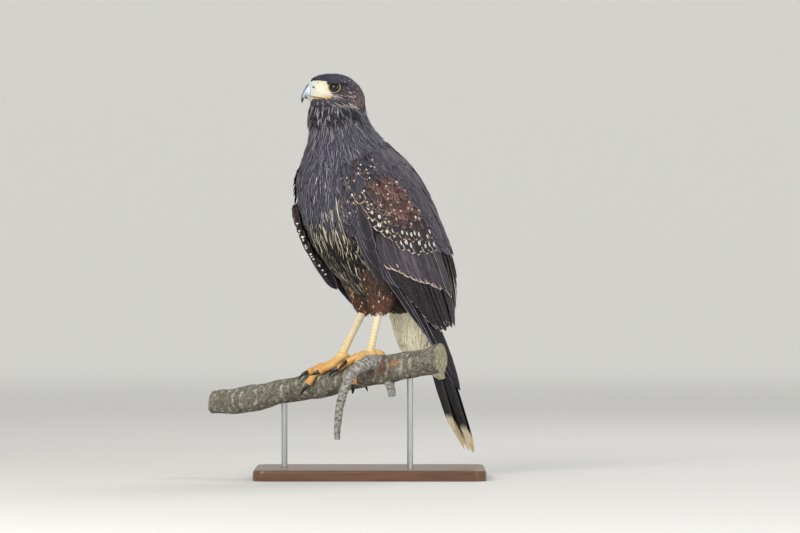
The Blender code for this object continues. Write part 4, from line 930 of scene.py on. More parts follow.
def plate(outer, inner):
    """Points and faces of a closed plate between two grids of points."""
    rows, columns = outer.shape[:2]
    top = np.arange(rows * columns).reshape(rows, columns)
    low = top + top.size
    rim = np.concatenate([top[0, :-1], top[:-1, -1], top[-1, :0:-1], top[:0:-1, 0]])
    after = np.roll(rim, -1)
    sides = np.stack([rim, rim + top.size, after + top.size, after], -1)[:, ::-1]
    points = np.concatenate([outer.reshape(-1, 3), inner.reshape(-1, 3)])
    return points, [quads(top), quads(low)[:, ::-1], sides]


def wing_row(name, side, count, first, last, tips, heights, half_width, colours, tilt, rings=16, columns=5, bow=0.0,
             sunk=1.0, turned=(0, 0, 0), slot="plumage", material=None, outline="flight", **extra):
    """A row of wing feathers: roots evenly between two places, tips along a line of them, each (t, degrees)."""
    steps = np.linspace(0, 1, count)
    first, last, tips = (np.array(v, float) for v in (first, last, tips))
    roots = first + (last - first) * steps[:, None]
    ends = spline(np.linspace(0, 1, len(tips)), tips, steps)
    ends = raised(ends) if side < 0 else ends
    ends = ends + rng.normal(size=ends.shape) * (0.006, 0.5)
    share = np.linspace(0, 1, rings)
    t, degrees = (roots[:, i, None] + (ends - roots)[:, i, None] * share for i in (0, 1))
    angle = np.radians(degrees + bow * np.sin(np.pi * share))
    height = heights[0] + (heights[1] - heights[0]) * share**0.7 + 0.2 * rng.normal(size=(count, 1)) * share
    height = height * np.interp(np.degrees(angle), (88, 112, 160), (1.0, sunk, sunk))
    spine = trunk(t, angle, height, WING)
    up = unit(trunk(t, angle, height + 1.0, WING) - spine + turned)
    along = unit(np.gradient(spine, axis=1))
    up = unit(up - along * (up * along).sum(-1, keepdims=True))
    half_width = np.full(count, half_width) * (1 + 0.04 * rng.normal(size=count))
    bake = np.stack([(np.arange(count) + 0.1) / count, np.full(count, 0.05)], -1)
    return feathers(name, spine, up, half_width, material or flight_vanes, slot, colours, bake, outline, columns,
                    tilt, mirrored=side < 0, patch=(0.8 / count, 0.9), **extra)


flight_vanes = feather_material("flight feather vanes", 0.7, 0.75, 1.0, roughness=0.5, specular_ior_level=0.35)
MEDIAN_TIPS = np.array([(0.545, 60), (0.67, 69), (0.75, 80), (0.80, 93), (0.815, 108)])
SCAPULAR_LINE = np.array([(0.33, 80), (0.427, 88), (0.50, 94), (0.59, 98), (0.68, 105), (0.775, 112), (0.87, 120),
                          (0.94, 130), (0.95, 165)])

for wing, side in (("left", 1), ("right", -1)):
    t = np.linspace(0.31, 0.74, 36)
    front, back = wing_front(t), wing_back(t)
    angle = front[:, None] + (back - front)[:, None] * np.linspace(0, 1, 40)
    tt = np.broadcast_to(t[:, None], angle.shape)
    full = arm_height(tt, angle)
    outer = trunk(tt, angle, full - ARM_COAT, WING)
    inner = trunk(tt, angle, np.minimum(np.maximum(full - 9.0, -3.0) - 3.0 * (tt < 0.45), full - ARM_COAT - 0.6), WING)
    points, faces = plate(outer, inner)
    if side < 0:
        points, faces = points * (1, -1, 1), [group[:, ::-1] for group in faces]
    tint = np.broadcast_to(TINT["black brown"], (len(points), 4))
    piece("arm_" + wing, bird(points), faces, down, ("wing_" + wing,), colours={"ground": tint})

    pale_line = (np.arange(10) % 3 == 0) * 1.0
    colours = look(10, TINT["black brown"] * 0.6, blend(TINT["black brown"], TINT["grey violet"] * 2.4, pale_line), 0.06,
                   weights=(1.0, 0.3))
    wing_row("primaries_" + wing, side, 10, (0.70, 52), (0.70, 62),
             [(1.10, 61), (1.28, 73), (1.39, 80), (1.45, 85), (1.40, 91)], (1.5, 3.0), 8.4, colours, 0.34,
             rings=24, bow=-1.5 if side > 0 else 16.0, arch=60.0, thick=0.3, ragged=0.012)
    colours = look(12, TINT["black brown"] * 0.8, TINT["white"], 0.12, uneven=0.16, weights=(0.02, 1.0))
    wing_row("secondaries_" + wing, side, 12, (0.68, 62), (0.62, 104),
             [(1.00, 69), (1.09, 76), (1.145, 85), (1.165, 94), (1.175, 103), (1.185, 113)], (2.5, 5.5), 12.0,
             colours, 0.19, rings=20, arch=70.0, thick=0.3, ragged=0.012)
    colours = look(6, TINT["black brown"] * 1.3, TINT["peach"], 0.1, weights=(0.3, 1.0))
    wing_row("tertials_" + wing, side, 6, (0.62, 116), (0.60, 150), [(1.17, 122), (1.12, 134), (1.03, 148)],
             (0.5, 3.8), 16.0, colours, 0.12, rings=20, sunk=0.1, arch=70.0, thick=0.3, ragged=0.012)
    # On the right wing, seen from below, the primary coverts and alula are blended toward grey violet by this share: a
    # painted sheen.
    tone = 0.0 if side > 0 else 0.6
    colours = look(7, blend(TINT["black brown"], TINT["grey violet"] * 0.6, tone), TINT["grey violet"] * 1.5, 0.09)
    tips = [(0.85, 52), (0.89, 59.5)] if side > 0 else [(0.99, 20), (0.95, 34)]
    wing_row("primary_coverts_" + wing, side, 7, (0.66, 52), (0.68, 60), tips, (4.0, 7.0 if side > 0 else 15.0),
             7.6, colours, 0.2, arch=40.0, thick=0.28, ragged=0.015)
    order = np.arange(12)
    colours = look(12, TINT["grey brown"] * 0.7, blend(TINT["peach"], TINT["white"], 0.4), 0.24, TINT["peach"] * 1.2,
                   (0.75, 0.35 * (order < 2), 0.3), 0.14, (np.where(order > 10, 0.2, 0.02), 1.0))
    wing_row("greater_coverts_" + wing, side, 12, (0.63, 62), (0.70, 110),
             [(0.80, 62), (0.85, 71), (0.90, 82), (0.945, 92), (0.985, 100), (1.05, 113)], (5.0, 8.0), 11.5,
             colours, 0.14, rings=18, sunk=0.8, arch=45.0, thick=0.28, ragged=0.015)
    dice = rng.random((3, 13))
    colours = look(13, TINT["black brown"] * 1.5, blend(TINT["peach"], TINT["white"], dice[2]), 0.13 + 0.06 * dice[1],
                   TINT["white"], (0.85 + 0.5 * dice[1], (0.28 + 0.14 * dice[2]) * (dice[0] > 0.15), 0.2 + 0.1 * dice[2]), 0.12,
                   (0.5, 1.0))
    wing_row("median_coverts_" + wing, side, 13, (0.46, 59), (0.62, 110), MEDIAN_TIPS, (6.0, 9.4), 9.6, colours,
             0.13, rings=14, sunk=0.72, arch=30.0, thick=0.26, ragged=0.03, outline="round", slot="cream_coverts")
    dice = rng.random((3, 15))
    colours = look(15, TINT["black brown"] * 1.5, TINT["peach"] * (0.6 + 0.5 * dice[2, :, None]), 0.16 + 0.1 * dice[1],
                   TINT["white"], (0.9 + 0.6 * dice[1], (0.3 + 0.2 * dice[2]) * (dice[0] > 0.25), 0.18 + 0.1 * dice[2]), 0.14,
                   (0.4, 1.0))
    wing_row("upper_median_" + wing, side, 15, (0.42, 59), (0.56, 106), MEDIAN_TIPS - (0.06, 0), (6.8, 10.0), 7.6,
             colours, 0.13, rings=12, sunk=0.72, arch=22.0, thick=0.26, ragged=0.03, outline="round",
             slot="cream_coverts")
    colours = look(4, blend(TINT["black brown"] * 1.3, TINT["grey violet"] * 0.7, tone),
                   blend(TINT["grey violet"], TINT["white"], 0.7 * tone), 0.12)
    if side > 0:
        wing_row("alula_left", side, 4, (0.49, 56), (0.50, 50), [(0.64, 55), (0.70, 52), (0.765, 49), (0.83, 45)],
                 (8.0, 14.0), 7.5, colours, 0.1, arch=30.0, thick=0.3, ragged=0.012)
    else:
        wing_row("alula_right", side, 4, (0.49, 54), (0.50, 47), [(0.66, 53), (0.73, 50), (0.79, 46), (0.855, 42)],
                 (5.0, 13.5), 10.5, colours, 0.0, turned=(-0.5, 0.7, 0), arch=60.0, thick=0.3, ragged=0.012)

    levels = np.arange(0.30, 0.80, 0.0165)
    t, angle = staggered(levels, np.full(len(levels), 450.0), 5.0, np.radians(38.0), np.radians(122.0))
    degrees = np.degrees(angle)
    length = np.interp(t, (0.3, 0.75), (11, 18)) * (1 + 0.1 * rng.normal(size=len(t)))
    last_tip = np.interp(degrees, MEDIAN_TIPS[:, 1], MEDIAN_TIPS[:, 0]) - 0.09
    last_tip = np.where(degrees < 53, 0.61, last_tip)
    to_line = np.interp(t, SCAPULAR_LINE[:, 0], SCAPULAR_LINE[:, 1])
    keep = (t + length / TRUNK_LENGTH < last_tip + 0.01 * rng.normal(size=len(t))) & (degrees < to_line + 8)
    keep &= degrees > np.degrees(wing_front(t)) - 9
    t, angle, degrees, length, to_line = t[keep], angle[keep], degrees[keep], length[keep], to_line[keep]
    count = len(t)
    share = np.linspace(0, 1, 7)
    tt = t[:, None] + length[:, None] / TRUNK_LENGTH * share
    aa = angle[:, None] + 0.03 * rng.normal(size=(count, 1)) * share
    top = np.interp(tt, (0.36, 0.46, 0.56), (8.2, 9.8, 10.6)) * np.interp(np.degrees(aa), (88, 112), (1.0, 0.74))
    top = np.maximum(np.minimum(top, arm_height(tt, aa) + 3.2), arm_height(tt, aa) + 0.8)
    top = 2.0 + (top - 2.0) * smooth(-8, -1, np.degrees(aa - wing_front(tt)))
    hh = top - ARM_COAT - 1.2 + (ARM_COAT + 1.2 + 0.5 * rng.random((count, 1))) * share**0.7
    spine = trunk(tt, aa, hh, WING)
    up = unit(trunk(tt, aa, hh + 1.0, WING) - spine)
    half_width = np.interp(t, (0.3, 0.75), (3.1, 4.8)) * (1 + 0.08 * rng.normal(size=count))
    dice = rng.random((4, count))
    near_line = smooth(25, 12, to_line - degrees) * smooth(0.36, 0.41, t)
    shoulder = np.maximum(smooth(0.50, 0.40, t - 0.0030 * (degrees - 60)), smooth(60, 55, degrees))
    brown = np.maximum(near_line * (0.6 + 0.4 * dice[2]), 0.6 * (dice[0] < 0.3))
    ground = blend(TINT["black brown"] * 1.2, TINT["wing brown"] * (0.45 + 0.8 * dice[1, :, None]), brown)
    ground = blend(ground, TINT["slate"] * 0.75, shoulder * (1 - near_line) * (0.4 + 0.6 * (dice[1] > 0.2)))
    edging = blend(TINT["wing buff"] * 0.8, TINT["peach"], 0.8 * dice[1] ** 2)
    edging = blend(edging, TINT["slate light"], shoulder * (dice[2] > 0.3) * (1 - near_line))
    edging = blend(edging, TINT["peach"] * 0.9, shoulder * (dice[2] < 0.3) * (1 - near_line))
    front = smooth(61, 56, degrees) * smooth(0.46, 0.52, t)
    ground, edging = blend(ground, TINT["slate"] * 0.6, front), blend(edging, TINT["slate light"], front)
    spotted = ((dice[3] > 0.5) & (t > 0.42) & (near_line < 0.5) & (degrees > 57)) | (dice[3] > 0.75 + 0.25 * front)
    colours = look(count, ground, edging, 0.16 + 0.12 * dice[1], blend(TINT["peach"], TINT["white"], dice[0]),
                   (1.0, 0.45 * spotted, 0.28 * spotted), 0.2, (0.22, 1.0))
    bake = np.stack([0.02 + 0.95 * (degrees - 40) / 80, 0.02 + 0.95 * (t - 0.28) / 0.6], -1)
    feathers("lesser_coverts_" + wing, spine, up, half_width, body_vanes, "plumage", colours, bake,
             "round", 5, 0.06, 14.0, mirrored=side < 0)

    levels = np.arange(0.31, 0.84, 0.042)
    low = np.radians(np.interp(levels + 0.1, SCAPULAR_LINE[:, 0], SCAPULAR_LINE[:, 1]))
    t, angle = staggered(levels, np.full(len(levels), 450.0), 14.0, low, np.radians(172.0), 0.15)
    degrees = np.degrees(angle)
    length = np.interp(t, (0.3, 0.5, 0.8), (32, 44, 52)) * (1 + 0.06 * rng.normal(size=len(t)))
    furthest = np.interp(degrees, SCAPULAR_LINE[:, 1], SCAPULAR_LINE[:, 0])
    keep = t + length / TRUNK_LENGTH < furthest + 0.015
    t, angle, degrees, length = t[keep], angle[keep], degrees[keep], length[keep]
    count = len(t)
    share = np.linspace(0, 1, 10)
    tt = t[:, None] + length[:, None] / TRUNK_LENGTH * share
    aa = angle[:, None] + (0.02 * rng.normal(size=(count, 1)) - 0.03) * share
    hh = -1.0 + (4.6 + 0.4 * rng.random((count, 1)) + 4.8 * smooth(132, 102, degrees)[:, None]) * share**0.5
    hh = hh - 0.8 * smooth(0.8, 1.0, share)
    spine = trunk(tt, aa, hh, WING)
    up = unit(trunk(tt, aa, hh + 1.0, WING) - spine)
    half_width = np.interp(t, (0.3, 0.8), (8.5, 12.5)) * (1 + 0.05 * rng.normal(size=count))
    colours = look(count, TINT["slate violet"] * 0.75, TINT["slate light"], 0.1)
    bake = np.stack([0.02 + 0.95 * (degrees - 70) / 110, 0.02 + 0.95 * (t - 0.28) / 0.6], -1)
    feathers("scapulars_" + wing, spine, up, half_width, body_vanes, "plumage", colours, bake, "round", 5, 0.08,
             30.0, thick=0.3, ragged=0.03, mirrored=side < 0)

    t = np.linspace(0.30, 0.74, 9)
    count = len(t)
    tt = t[:, None] + 0.15 * np.linspace(0, 1, 14)
    aa = np.radians(np.interp(tt, SCAPULAR_LINE[:, 0], SCAPULAR_LINE[:, 1]) + np.linspace(8.0, 5.5, 14))
    hh = 3.0 + 6.5 * np.linspace(0, 1, 14) ** 0.7 - 0.1 * np.arange(count)[:, None]
    hh = hh - 2.5 * smooth(0.62, 0.9, tt)
    spine = trunk(tt, aa, hh, WING)
    up = unit(trunk(tt, aa, hh + 1.0, WING) - spine)
    # These feathers' rims are painted near black: painted shadow under the scapulars' edge, where it stands over the
    # coverts.
    colours = look(count, TINT["slate violet"] * 0.75, TINT["black brown"] * 0.5, 0.2, weights=(1.0, 0.3))
    bake = np.stack([(np.arange(count) + 0.1) / count, np.full(count, 0.05)], -1)
    feathers("scapular_edge_" + wing, spine, up, np.linspace(8.0, 9.5, count), body_vanes, "plumage", colours, bake,
             "round", 5, 0.1, 26.0, 0.3, 0.02, mirrored=side < 0, patch=(0.8 / count, 0.9))


# Small pale-tipped feathers of the right wing's lining, seen between its hanging front edge and the breast.
t = np.tile(np.linspace(0.43, 0.73, 22), 5) + 0.006 * rng.normal(size=110)
row = np.repeat(np.arange(5), 22)
angle = np.radians(-38.0 + 5.0 * row - 10.0 * (t - 0.44) + 2.0 * rng.normal(size=110))
share = np.linspace(0, 1, 7)
tt, aa = t[:, None] + 0.045 * share, angle[:, None] + 0 * share
spine = trunk(tt, aa, (4.5 + 0.7 * row)[:, None] + 3.0 * share, WING)
along = unit(np.gradient(spine, axis=1))
facing = np.array((0.57, 0.82, 0.0))
up = unit(facing - along * (along @ facing)[..., None])
dice = rng.random((3, 110))
spotted = dice[1] < np.array((0.1, 0.2, 0.45, 0.75, 0.85))[row]
topmost = smooth(0.48, 0.45, t)
ground = blend(TINT["black brown"] * 0.7, TINT["wing brown"] * 0.6, 0.15 * topmost)
edging = blend(blend(TINT["grey violet"], TINT["white"], spotted * dice[2]), TINT["peach"] * 0.8, topmost)
colours = look(110, ground, edging, np.maximum(0.14 * (dice[0] > 0.5), (0.12 + 0.14 * dice[2]) * topmost), TINT["white"],
               (0.6, (0.3 + 0.35 * dice[0]) * spotted, 0.35 + 0.6 * dice[2]), 0.1, (0.3, 1.0))
bake = np.stack([0.3 + 0.05 * row + 0.04 * rng.random(110), 0.1 + t], -1)
feathers("wing_lining", spine, up, np.full(110, 3.4), body_vanes, "plumage", colours, bake, "round", 5, arch=9.0)


# The tail: twelve stiff feathers in two piles under a middle pair, closed to a narrow bar and pale at the
# tips, on a fleshy root. White coverts lie over its root, and a soft cream cone of them hangs below it.
TAIL_ROOT, TAIL_TIP = (-62.0, 283.0), (-159.0, 28.0)
UNDERTAIL = np.array([
    [-0.02, 30, 38],
    [0.15, 34, 48],
    [0.35, 32, 52],
    [0.45, 24, 47],
    [0.52, 15, 32],
    [0.60, 6, 9],
])


def tail_point(v, across, out):
    """A point by the tail: v runs from root to tip, across to the left, out to its lower side."""
    v, across, out = np.broadcast_arrays(*(np.asarray(a, float) for a in (v, across, out)))
    root, tip = np.array(TAIL_ROOT), np.array(TAIL_TIP)
    along = (tip - root) / np.linalg.norm(tip - root)
    lower = np.array([-along[1], along[0]])
    place = root + (tip - root) * v[..., None] + lower * out[..., None]
    return np.stack([place[..., 0], across, place[..., 1]], -1)


def under(v, angle, height):
    """A point of the soft cone below the tail: the angle runs from its lowest line to the left."""
    width, depth = (np.interp(v, UNDERTAIL[:, 0], UNDERTAIL[:, i]) for i in (1, 2))
    return tail_point(v, (width + height) * np.sin(angle), (depth + height) * np.cos(angle))


def tube_piece(name, rings, material, replaced=(), place=bird, inward=False, tint=None, sharp=40.0):
    """A closed piece over rings of points (rows, around, 3), tinted by an array of the same rows."""
    points, sides, caps = skin_of(rings)
    if inward:
        sides, caps = sides[:, ::-1], caps[:, ::-1]
    colours = None
    if tint is not None:
        tint = np.broadcast_to(tint, (*rings.shape[:2], 4))
        tint = np.concatenate([tint.reshape(-1, 4), tint[0].mean(0)[None], tint[-1].mean(0)[None]])
        colours = {"ground": tint}
    return piece(name, place(points), [sides, caps], material, replaced, sharp, colours)


turn = np.linspace(0, 2 * np.pi, 49)[:-1]
v = np.linspace(0, 0.3, 12)[:, None]
rings = tail_point(v, np.interp(v, (0, 0.3), (12, 9)) * np.sin(turn), 1 + np.interp(v, (0, 0.3), (4.5, 2.5)) * np.cos(turn))
tube_piece("tail_root", rings, down, ("tail",), inward=True, tint=TINT["black brown"])

k = np.tile(np.arange(5), 2)
side = np.repeat((1, -1), 5)
shortest = np.where(side > 0, 0.055, 0.11)
start = np.stack([np.full(10, 0.12), side * 9.0, -1.6 + 1.25 * k], -1)
end = np.stack([1 - shortest * (k + 1) / 5, side * (10.6 + 0.7 * k), -1.6 + 1.25 * k], -1)
middle_start = [(0.12, 3.0, -2.9), (0.12, -3.0, -4.15)]
middle_end = [(1.0, 5.0, -2.9), (0.99, -5.0, -4.15)]
start, end = np.concatenate([start, middle_start]), np.concatenate([end, middle_end])
share = np.linspace(0, 1, 24)
v, across, out = (start[:, i, None] + (end - start)[:, i, None] * share for i in range(3))
spine = tail_point(v, across, out)
up = tail_point(v, across, out - 1.0) - spine
colours = look(12, TINT["black brown"] * 0.75, TINT["grey violet"], 0.02, TINT["undertail"] * 1.2, (-0.2, 2.8, 2.2))
bake = np.stack([(np.arange(12) + 0.1) / 12, np.full(12, 0.05)], -1)
feathers("tail_feathers", spine, up, np.repeat((10.2, 11.0), (10, 2)), flight_vanes, "plumage", colours, bake,
         "flight", 7, 0.0, 40.0, 0.34, 0.01, patch=(0.8 / 12, 0.9))

levels = np.arange(-0.06, 0.22, 0.035)
v, angle = staggered(levels, np.full(len(levels), 140.0), 7.0, np.radians(110.0), np.radians(250.0))
count = len(v)
share = np.linspace(0, 1, 8)
vv, aa = v[:, None] + 0.17 * share, angle[:, None]
hh = -3.0 + 6.0 * share**0.7
size = np.interp(vv, (-0.1, 0.15, 0.4), (26, 17, 12))
spine = tail_point(vv, (size + hh) * np.sin(aa), (0.55 * size + hh) * np.cos(aa))
higher = tail_point(vv, (size + hh + 1) * np.sin(aa), (0.55 * size + hh + 1) * np.cos(aa))
colours = look(count, TINT["undertail"], TINT["white"], 0.2, TINT["vent"], (4.0, 1.5, 0.5))
bake = np.stack([0.02 + 0.95 * angle / (2 * np.pi), 0.1 + v], -1)
feathers("uppertail_coverts", spine, unit(higher - spine), np.full(count, 6.5), body_vanes, "plumage", colours,
         bake, "round", 5, arch=12.0)

v = np.linspace(-0.02, 0.36, 24)[:, None]
width, depth = (np.interp(v, UNDERTAIL[:, 0], UNDERTAIL[:, i]) for i in (1, 2))
rings = tail_point(v, (width - 5) * np.sin(turn), 6.4 + (depth - 12) * np.maximum(np.cos(turn), 0))
tube_piece("undertail_root", rings, down, ("undertail",), inward=True, tint=TINT["undertail"] * 0.8)
downy_vanes = feather_material("loose downy vanes", 0.5, 0.0, 0.4, roughness=0.75, specular_ior_level=0.2, sheen_weight=0.15)
levels = np.arange(-0.05, 0.44, 0.026)
v, angle = staggered(levels, np.full(len(levels), 240.0), 3.8, np.radians(-88.0), np.radians(88.0))
v = np.clip(v, -0.05, 0.45)
count = len(v)
share = np.linspace(0, 1, 9)
reach = np.interp(v, (0, 0.4), (0.14, 0.19)) * (1 + 0.1 * rng.normal(size=count))
vv = np.minimum(v[:, None] + reach[:, None] * share, 0.6)
aa = angle[:, None] * (1 - 0.15 * share) + 0.16 * rng.normal(size=(count, 1)) * share
hh = -6.0 + (6.0 + 1.5 * rng.random((count, 1))) * share**0.7
spine = under(vv, aa, hh)
up = unit(under(vv, aa, hh + 1.0) - spine)
half_width = 3.4 * (1 + 0.12 * rng.normal(size=count))
streaked = rng.random(count) > 0.95
ground = TINT["undertail"] * (1.0 + 0.25 * rng.random((count, 1)))
colours = look(count, ground, TINT["white"] * 1.1, 0.35, TINT["vent"], (2.6, 1.7 * streaked, 0.2 * streaked))
bake = np.stack([0.5 + 0.45 * angle / (np.pi / 2), 0.04 + 1.8 * (v + 0.05)], -1)
feathers("undertail_coverts", spine, up, half_width, downy_vanes, "cream_coverts", colours, bake, "round", 5,
         arch=9.0, ragged=0.09)


# The bare face: soft skin over the root of the bill and before the eye, whitish, yellower at the gape. The
# mouth line parts it below, and a slanted nostril opens in it on either side.
NOSTRIL_AT = (33.2, 11.0, 4.6)
MOUTH_LINE = ((38.0, -7.6), (30.0, -9.0), (20.0, -11.2), (11.0, -12.4))

turn = np.linspace(0, 2 * np.pi, 161)[:-1]
signed = np.where(turn > np.pi, turn - 2 * np.pi, turn)
share = np.linspace(0, 1, 60)[:, None]
f = 36.2 + (bare_edge(signed) - 1.2 - 36.2) * share
u = np.interp(-f, -SKULL[:, 0], np.linspace(0, 1, len(SKULL)))
height = 0.45 - 1.8 * smooth(0.9, 1.0, share)
place = skull(u, turn + 0 * share, height + 0 * turn)
f, l, z = np.moveaxis(place, -1, 0)
mouth = np.interp(-f, [-p[0] for p in MOUTH_LINE], [p[1] for p in MOUTH_LINE])
line = np.exp(-(((z - mouth) / 0.55) ** 2)) * smooth(10, 13, f)
lips = np.exp(-(((np.abs(z - mouth) - 1.5) / 0.9) ** 2)) * smooth(9, 14, f)
hole_f, hole_z = f - NOSTRIL_AT[0], z - NOSTRIL_AT[2]
hole_long, hole_short = (hole_f * 0.75 + hole_z * 0.66), (hole_z * 0.75 - hole_f * 0.66)
hole = np.exp(-((hole_long / 2.1) ** 2 + (hole_short / 1.0) ** 2) ** 2)
wrinkles = 0.12 * np.sin(1.9 * f + 0.8 * z) * smooth(30, 24, f) + 0.1 * np.sin(2.3 * z - f) * smooth(30, 20, f)
normal = unit(np.stack([0.25 + 0 * f, l / 14, (z + 2) / 18], -1))
place = place + normal * (0.6 * lips - 1.3 * line - 1.6 * hole + wrinkles)[..., None]
low_edge = smooth(-5.5, -9.5, z)
tint = blend(linear("#c9cfcd"), linear("#d6d0bb"), smooth(34, 28, f))
tint = blend(tint, linear("#cfc4bb"), smooth(22, 16, f) * smooth(2, -6, z))
tint = blend(tint, linear("#cdb672"), smooth(18, 14.5, f) * smooth(-4, 2, z))
tint = blend(tint, linear("#cfb15c"), np.maximum(0.9 * low_edge * smooth(35, 30, f), 0.8 * lips))
# The mouth line and the nostril are painted dark: painted shade in the crease of the gape and in the nostril's opening.
tint = blend(tint, linear("#5b4526"), 0.9 * line)
tint = blend(tint, linear("#2a2018"), hole)
bare, tree, shader = new_material("bare waxy skin", roughness=0.42, subsurface_weight=0.25)
shader.inputs["Subsurface Radius"].default_value = (1.0, 0.5, 0.2)
shader.inputs["Subsurface Scale"].default_value = 0.0015
ground = add(tree, "Attribute", attribute_name="ground")
grain = add(tree, "TexNoise", {"Vector": add(tree, "TexCoord").outputs["Object"], "Scale": 900.0, "Detail": 3.0})
tone = add(tree, "MapRange", {"Value": grain.outputs["Fac"], 1: 0.3, 2: 0.7, 3: 0.9, 4: 1.06})
skin_tone = add(tree, "VectorMath", {0: ground.outputs["Color"], "Scale": tone.outputs[0]}, operation="SCALE")
tree.links.new(skin_tone.outputs[0], shader.inputs["Base Color"])
pores = add(tree, "TexVoronoi", {"Vector": add(tree, "TexCoord").outputs["Object"], "Scale": 1400.0})
bump = add(tree, "Bump", {"Height": pores.outputs["Distance"], "Strength": 0.25, "Distance": 0.0003})
tree.links.new(bump.outputs["Normal"], shader.inputs["Normal"])
tube_piece("cere_and_lores", place, bare, ("cere",), head, True, tint)


# The bill: layered horn over bone, pale blue-grey where it leaves the cere and black at the hook and ridge.
BILL_UPPER = np.array([
    [36.6, 10.8, 36.6, -7.2, 8.2],
    [40.7, 6.6, 37.9, -6.8, 6.8],
    [43.9, 1.1, 40.7, -6.9, 5.2],
    [46.3, -4.0, 42.6, -8.6, 3.8],
    [47.6, -9.2, 44.2, -11.2, 2.5],
    [47.5, -13.1, 45.5, -14.1, 1.4],
    [46.6, -16.4, 46.3, -16.2, 0.4],
])
BILL_LOWER = np.array([
    [36.6, -8.0, 36.6, -12.0, 6.4],
    [39.0, -7.6, 38.7, -11.2, 4.4],
    [41.2, -7.5, 41.0, -10.2, 2.6],
    [42.4, -8.2, 42.5, -9.4, 1.0],
])


def bill_rings(stations, steps, around):
    """Rings that lean with the curve of the bill, each an oval from its top edge to its bottom edge."""
    rows = spline(np.linspace(0, 1, len(stations)), stations, np.linspace(0, 1, steps))
    angle = np.linspace(0, 2 * np.pi, around + 1)[:-1]
    top = np.stack([rows[:, 0], np.zeros(steps), rows[:, 1]], -1)
    low = np.stack([rows[:, 2], np.zeros(steps), rows[:, 3]], -1)
    rings = (top + low)[:, None] / 2 + (top - low)[:, None] / 2 * np.cos(angle)[None, :, None]
    rings[..., 1] += rows[:, 4:5] * np.sign(np.sin(angle)) * np.abs(np.sin(angle)) ** 0.85
    return rings, angle


horn, tree, shader = new_material("bill horn", roughness=0.28, coat_weight=0.3, coat_roughness=0.15)
ground = add(tree, "Attribute", attribute_name="ground")
fibres = add(tree, "TexNoise", {"Vector": add(tree, "TexCoord").outputs["Object"], "Scale": 500.0, "Detail": 4.0})
tone = add(tree, "MapRange", {"Value": fibres.outputs["Fac"], 1: 0.3, 2: 0.7, 3: 0.86, 4: 1.12})
horn_tone = add(tree, "VectorMath", {0: ground.outputs["Color"], "Scale": tone.outputs[0]}, operation="SCALE")
tree.links.new(horn_tone.outputs[0], shader.inputs["Base Color"])
bump = add(tree, "Bump", {"Height": fibres.outputs["Fac"], "Strength": 0.12, "Distance": 0.0003})
tree.links.new(bump.outputs["Normal"], shader.inputs["Normal"])
for name, stations in (("bill_upper", BILL_UPPER), ("bill_lower", BILL_LOWER)):
    rings, angle = bill_rings(stations, 56, 40)
    share = np.linspace(0, 1, 56)[:, None]
    ridge = smooth(0.55, 0.85, np.cos(angle)) * smooth(0.0, 0.12, share)
    tint = blend(linear("#cfd9e0"), linear("#a3b1be"), smooth(0.1, 0.5, share) + 0 * angle)
    tint = blend(tint, linear("#15161a"), np.maximum(smooth(0.50, 0.74, share), ridge) + 0 * angle)
    if name == "bill_lower":
        tint = blend(linear("#b9c4cd"), linear("#1a1b1f"), smooth(0.2, 0.7, share) + 0 * angle)
    tube_piece(name, rings, horn, (name,), head, False, tint)


# The eyes: wet balls with a dark brown iris round a wide pupil, each in a ring of bare yellow lid.
LID_HALF_LENGTH, LID_HALF_HEIGHT, LID_TUBE = 7.5, 6.7, 0.85


def eye_frame(side):
    axis = unit(np.array(EYE_AXIS) * (1, side, 1))
    across = unit(np.cross(axis, (0, 0, 1)))
    return np.array(EYE_AT) * (1, side, 1), axis, across, np.cross(across, axis)


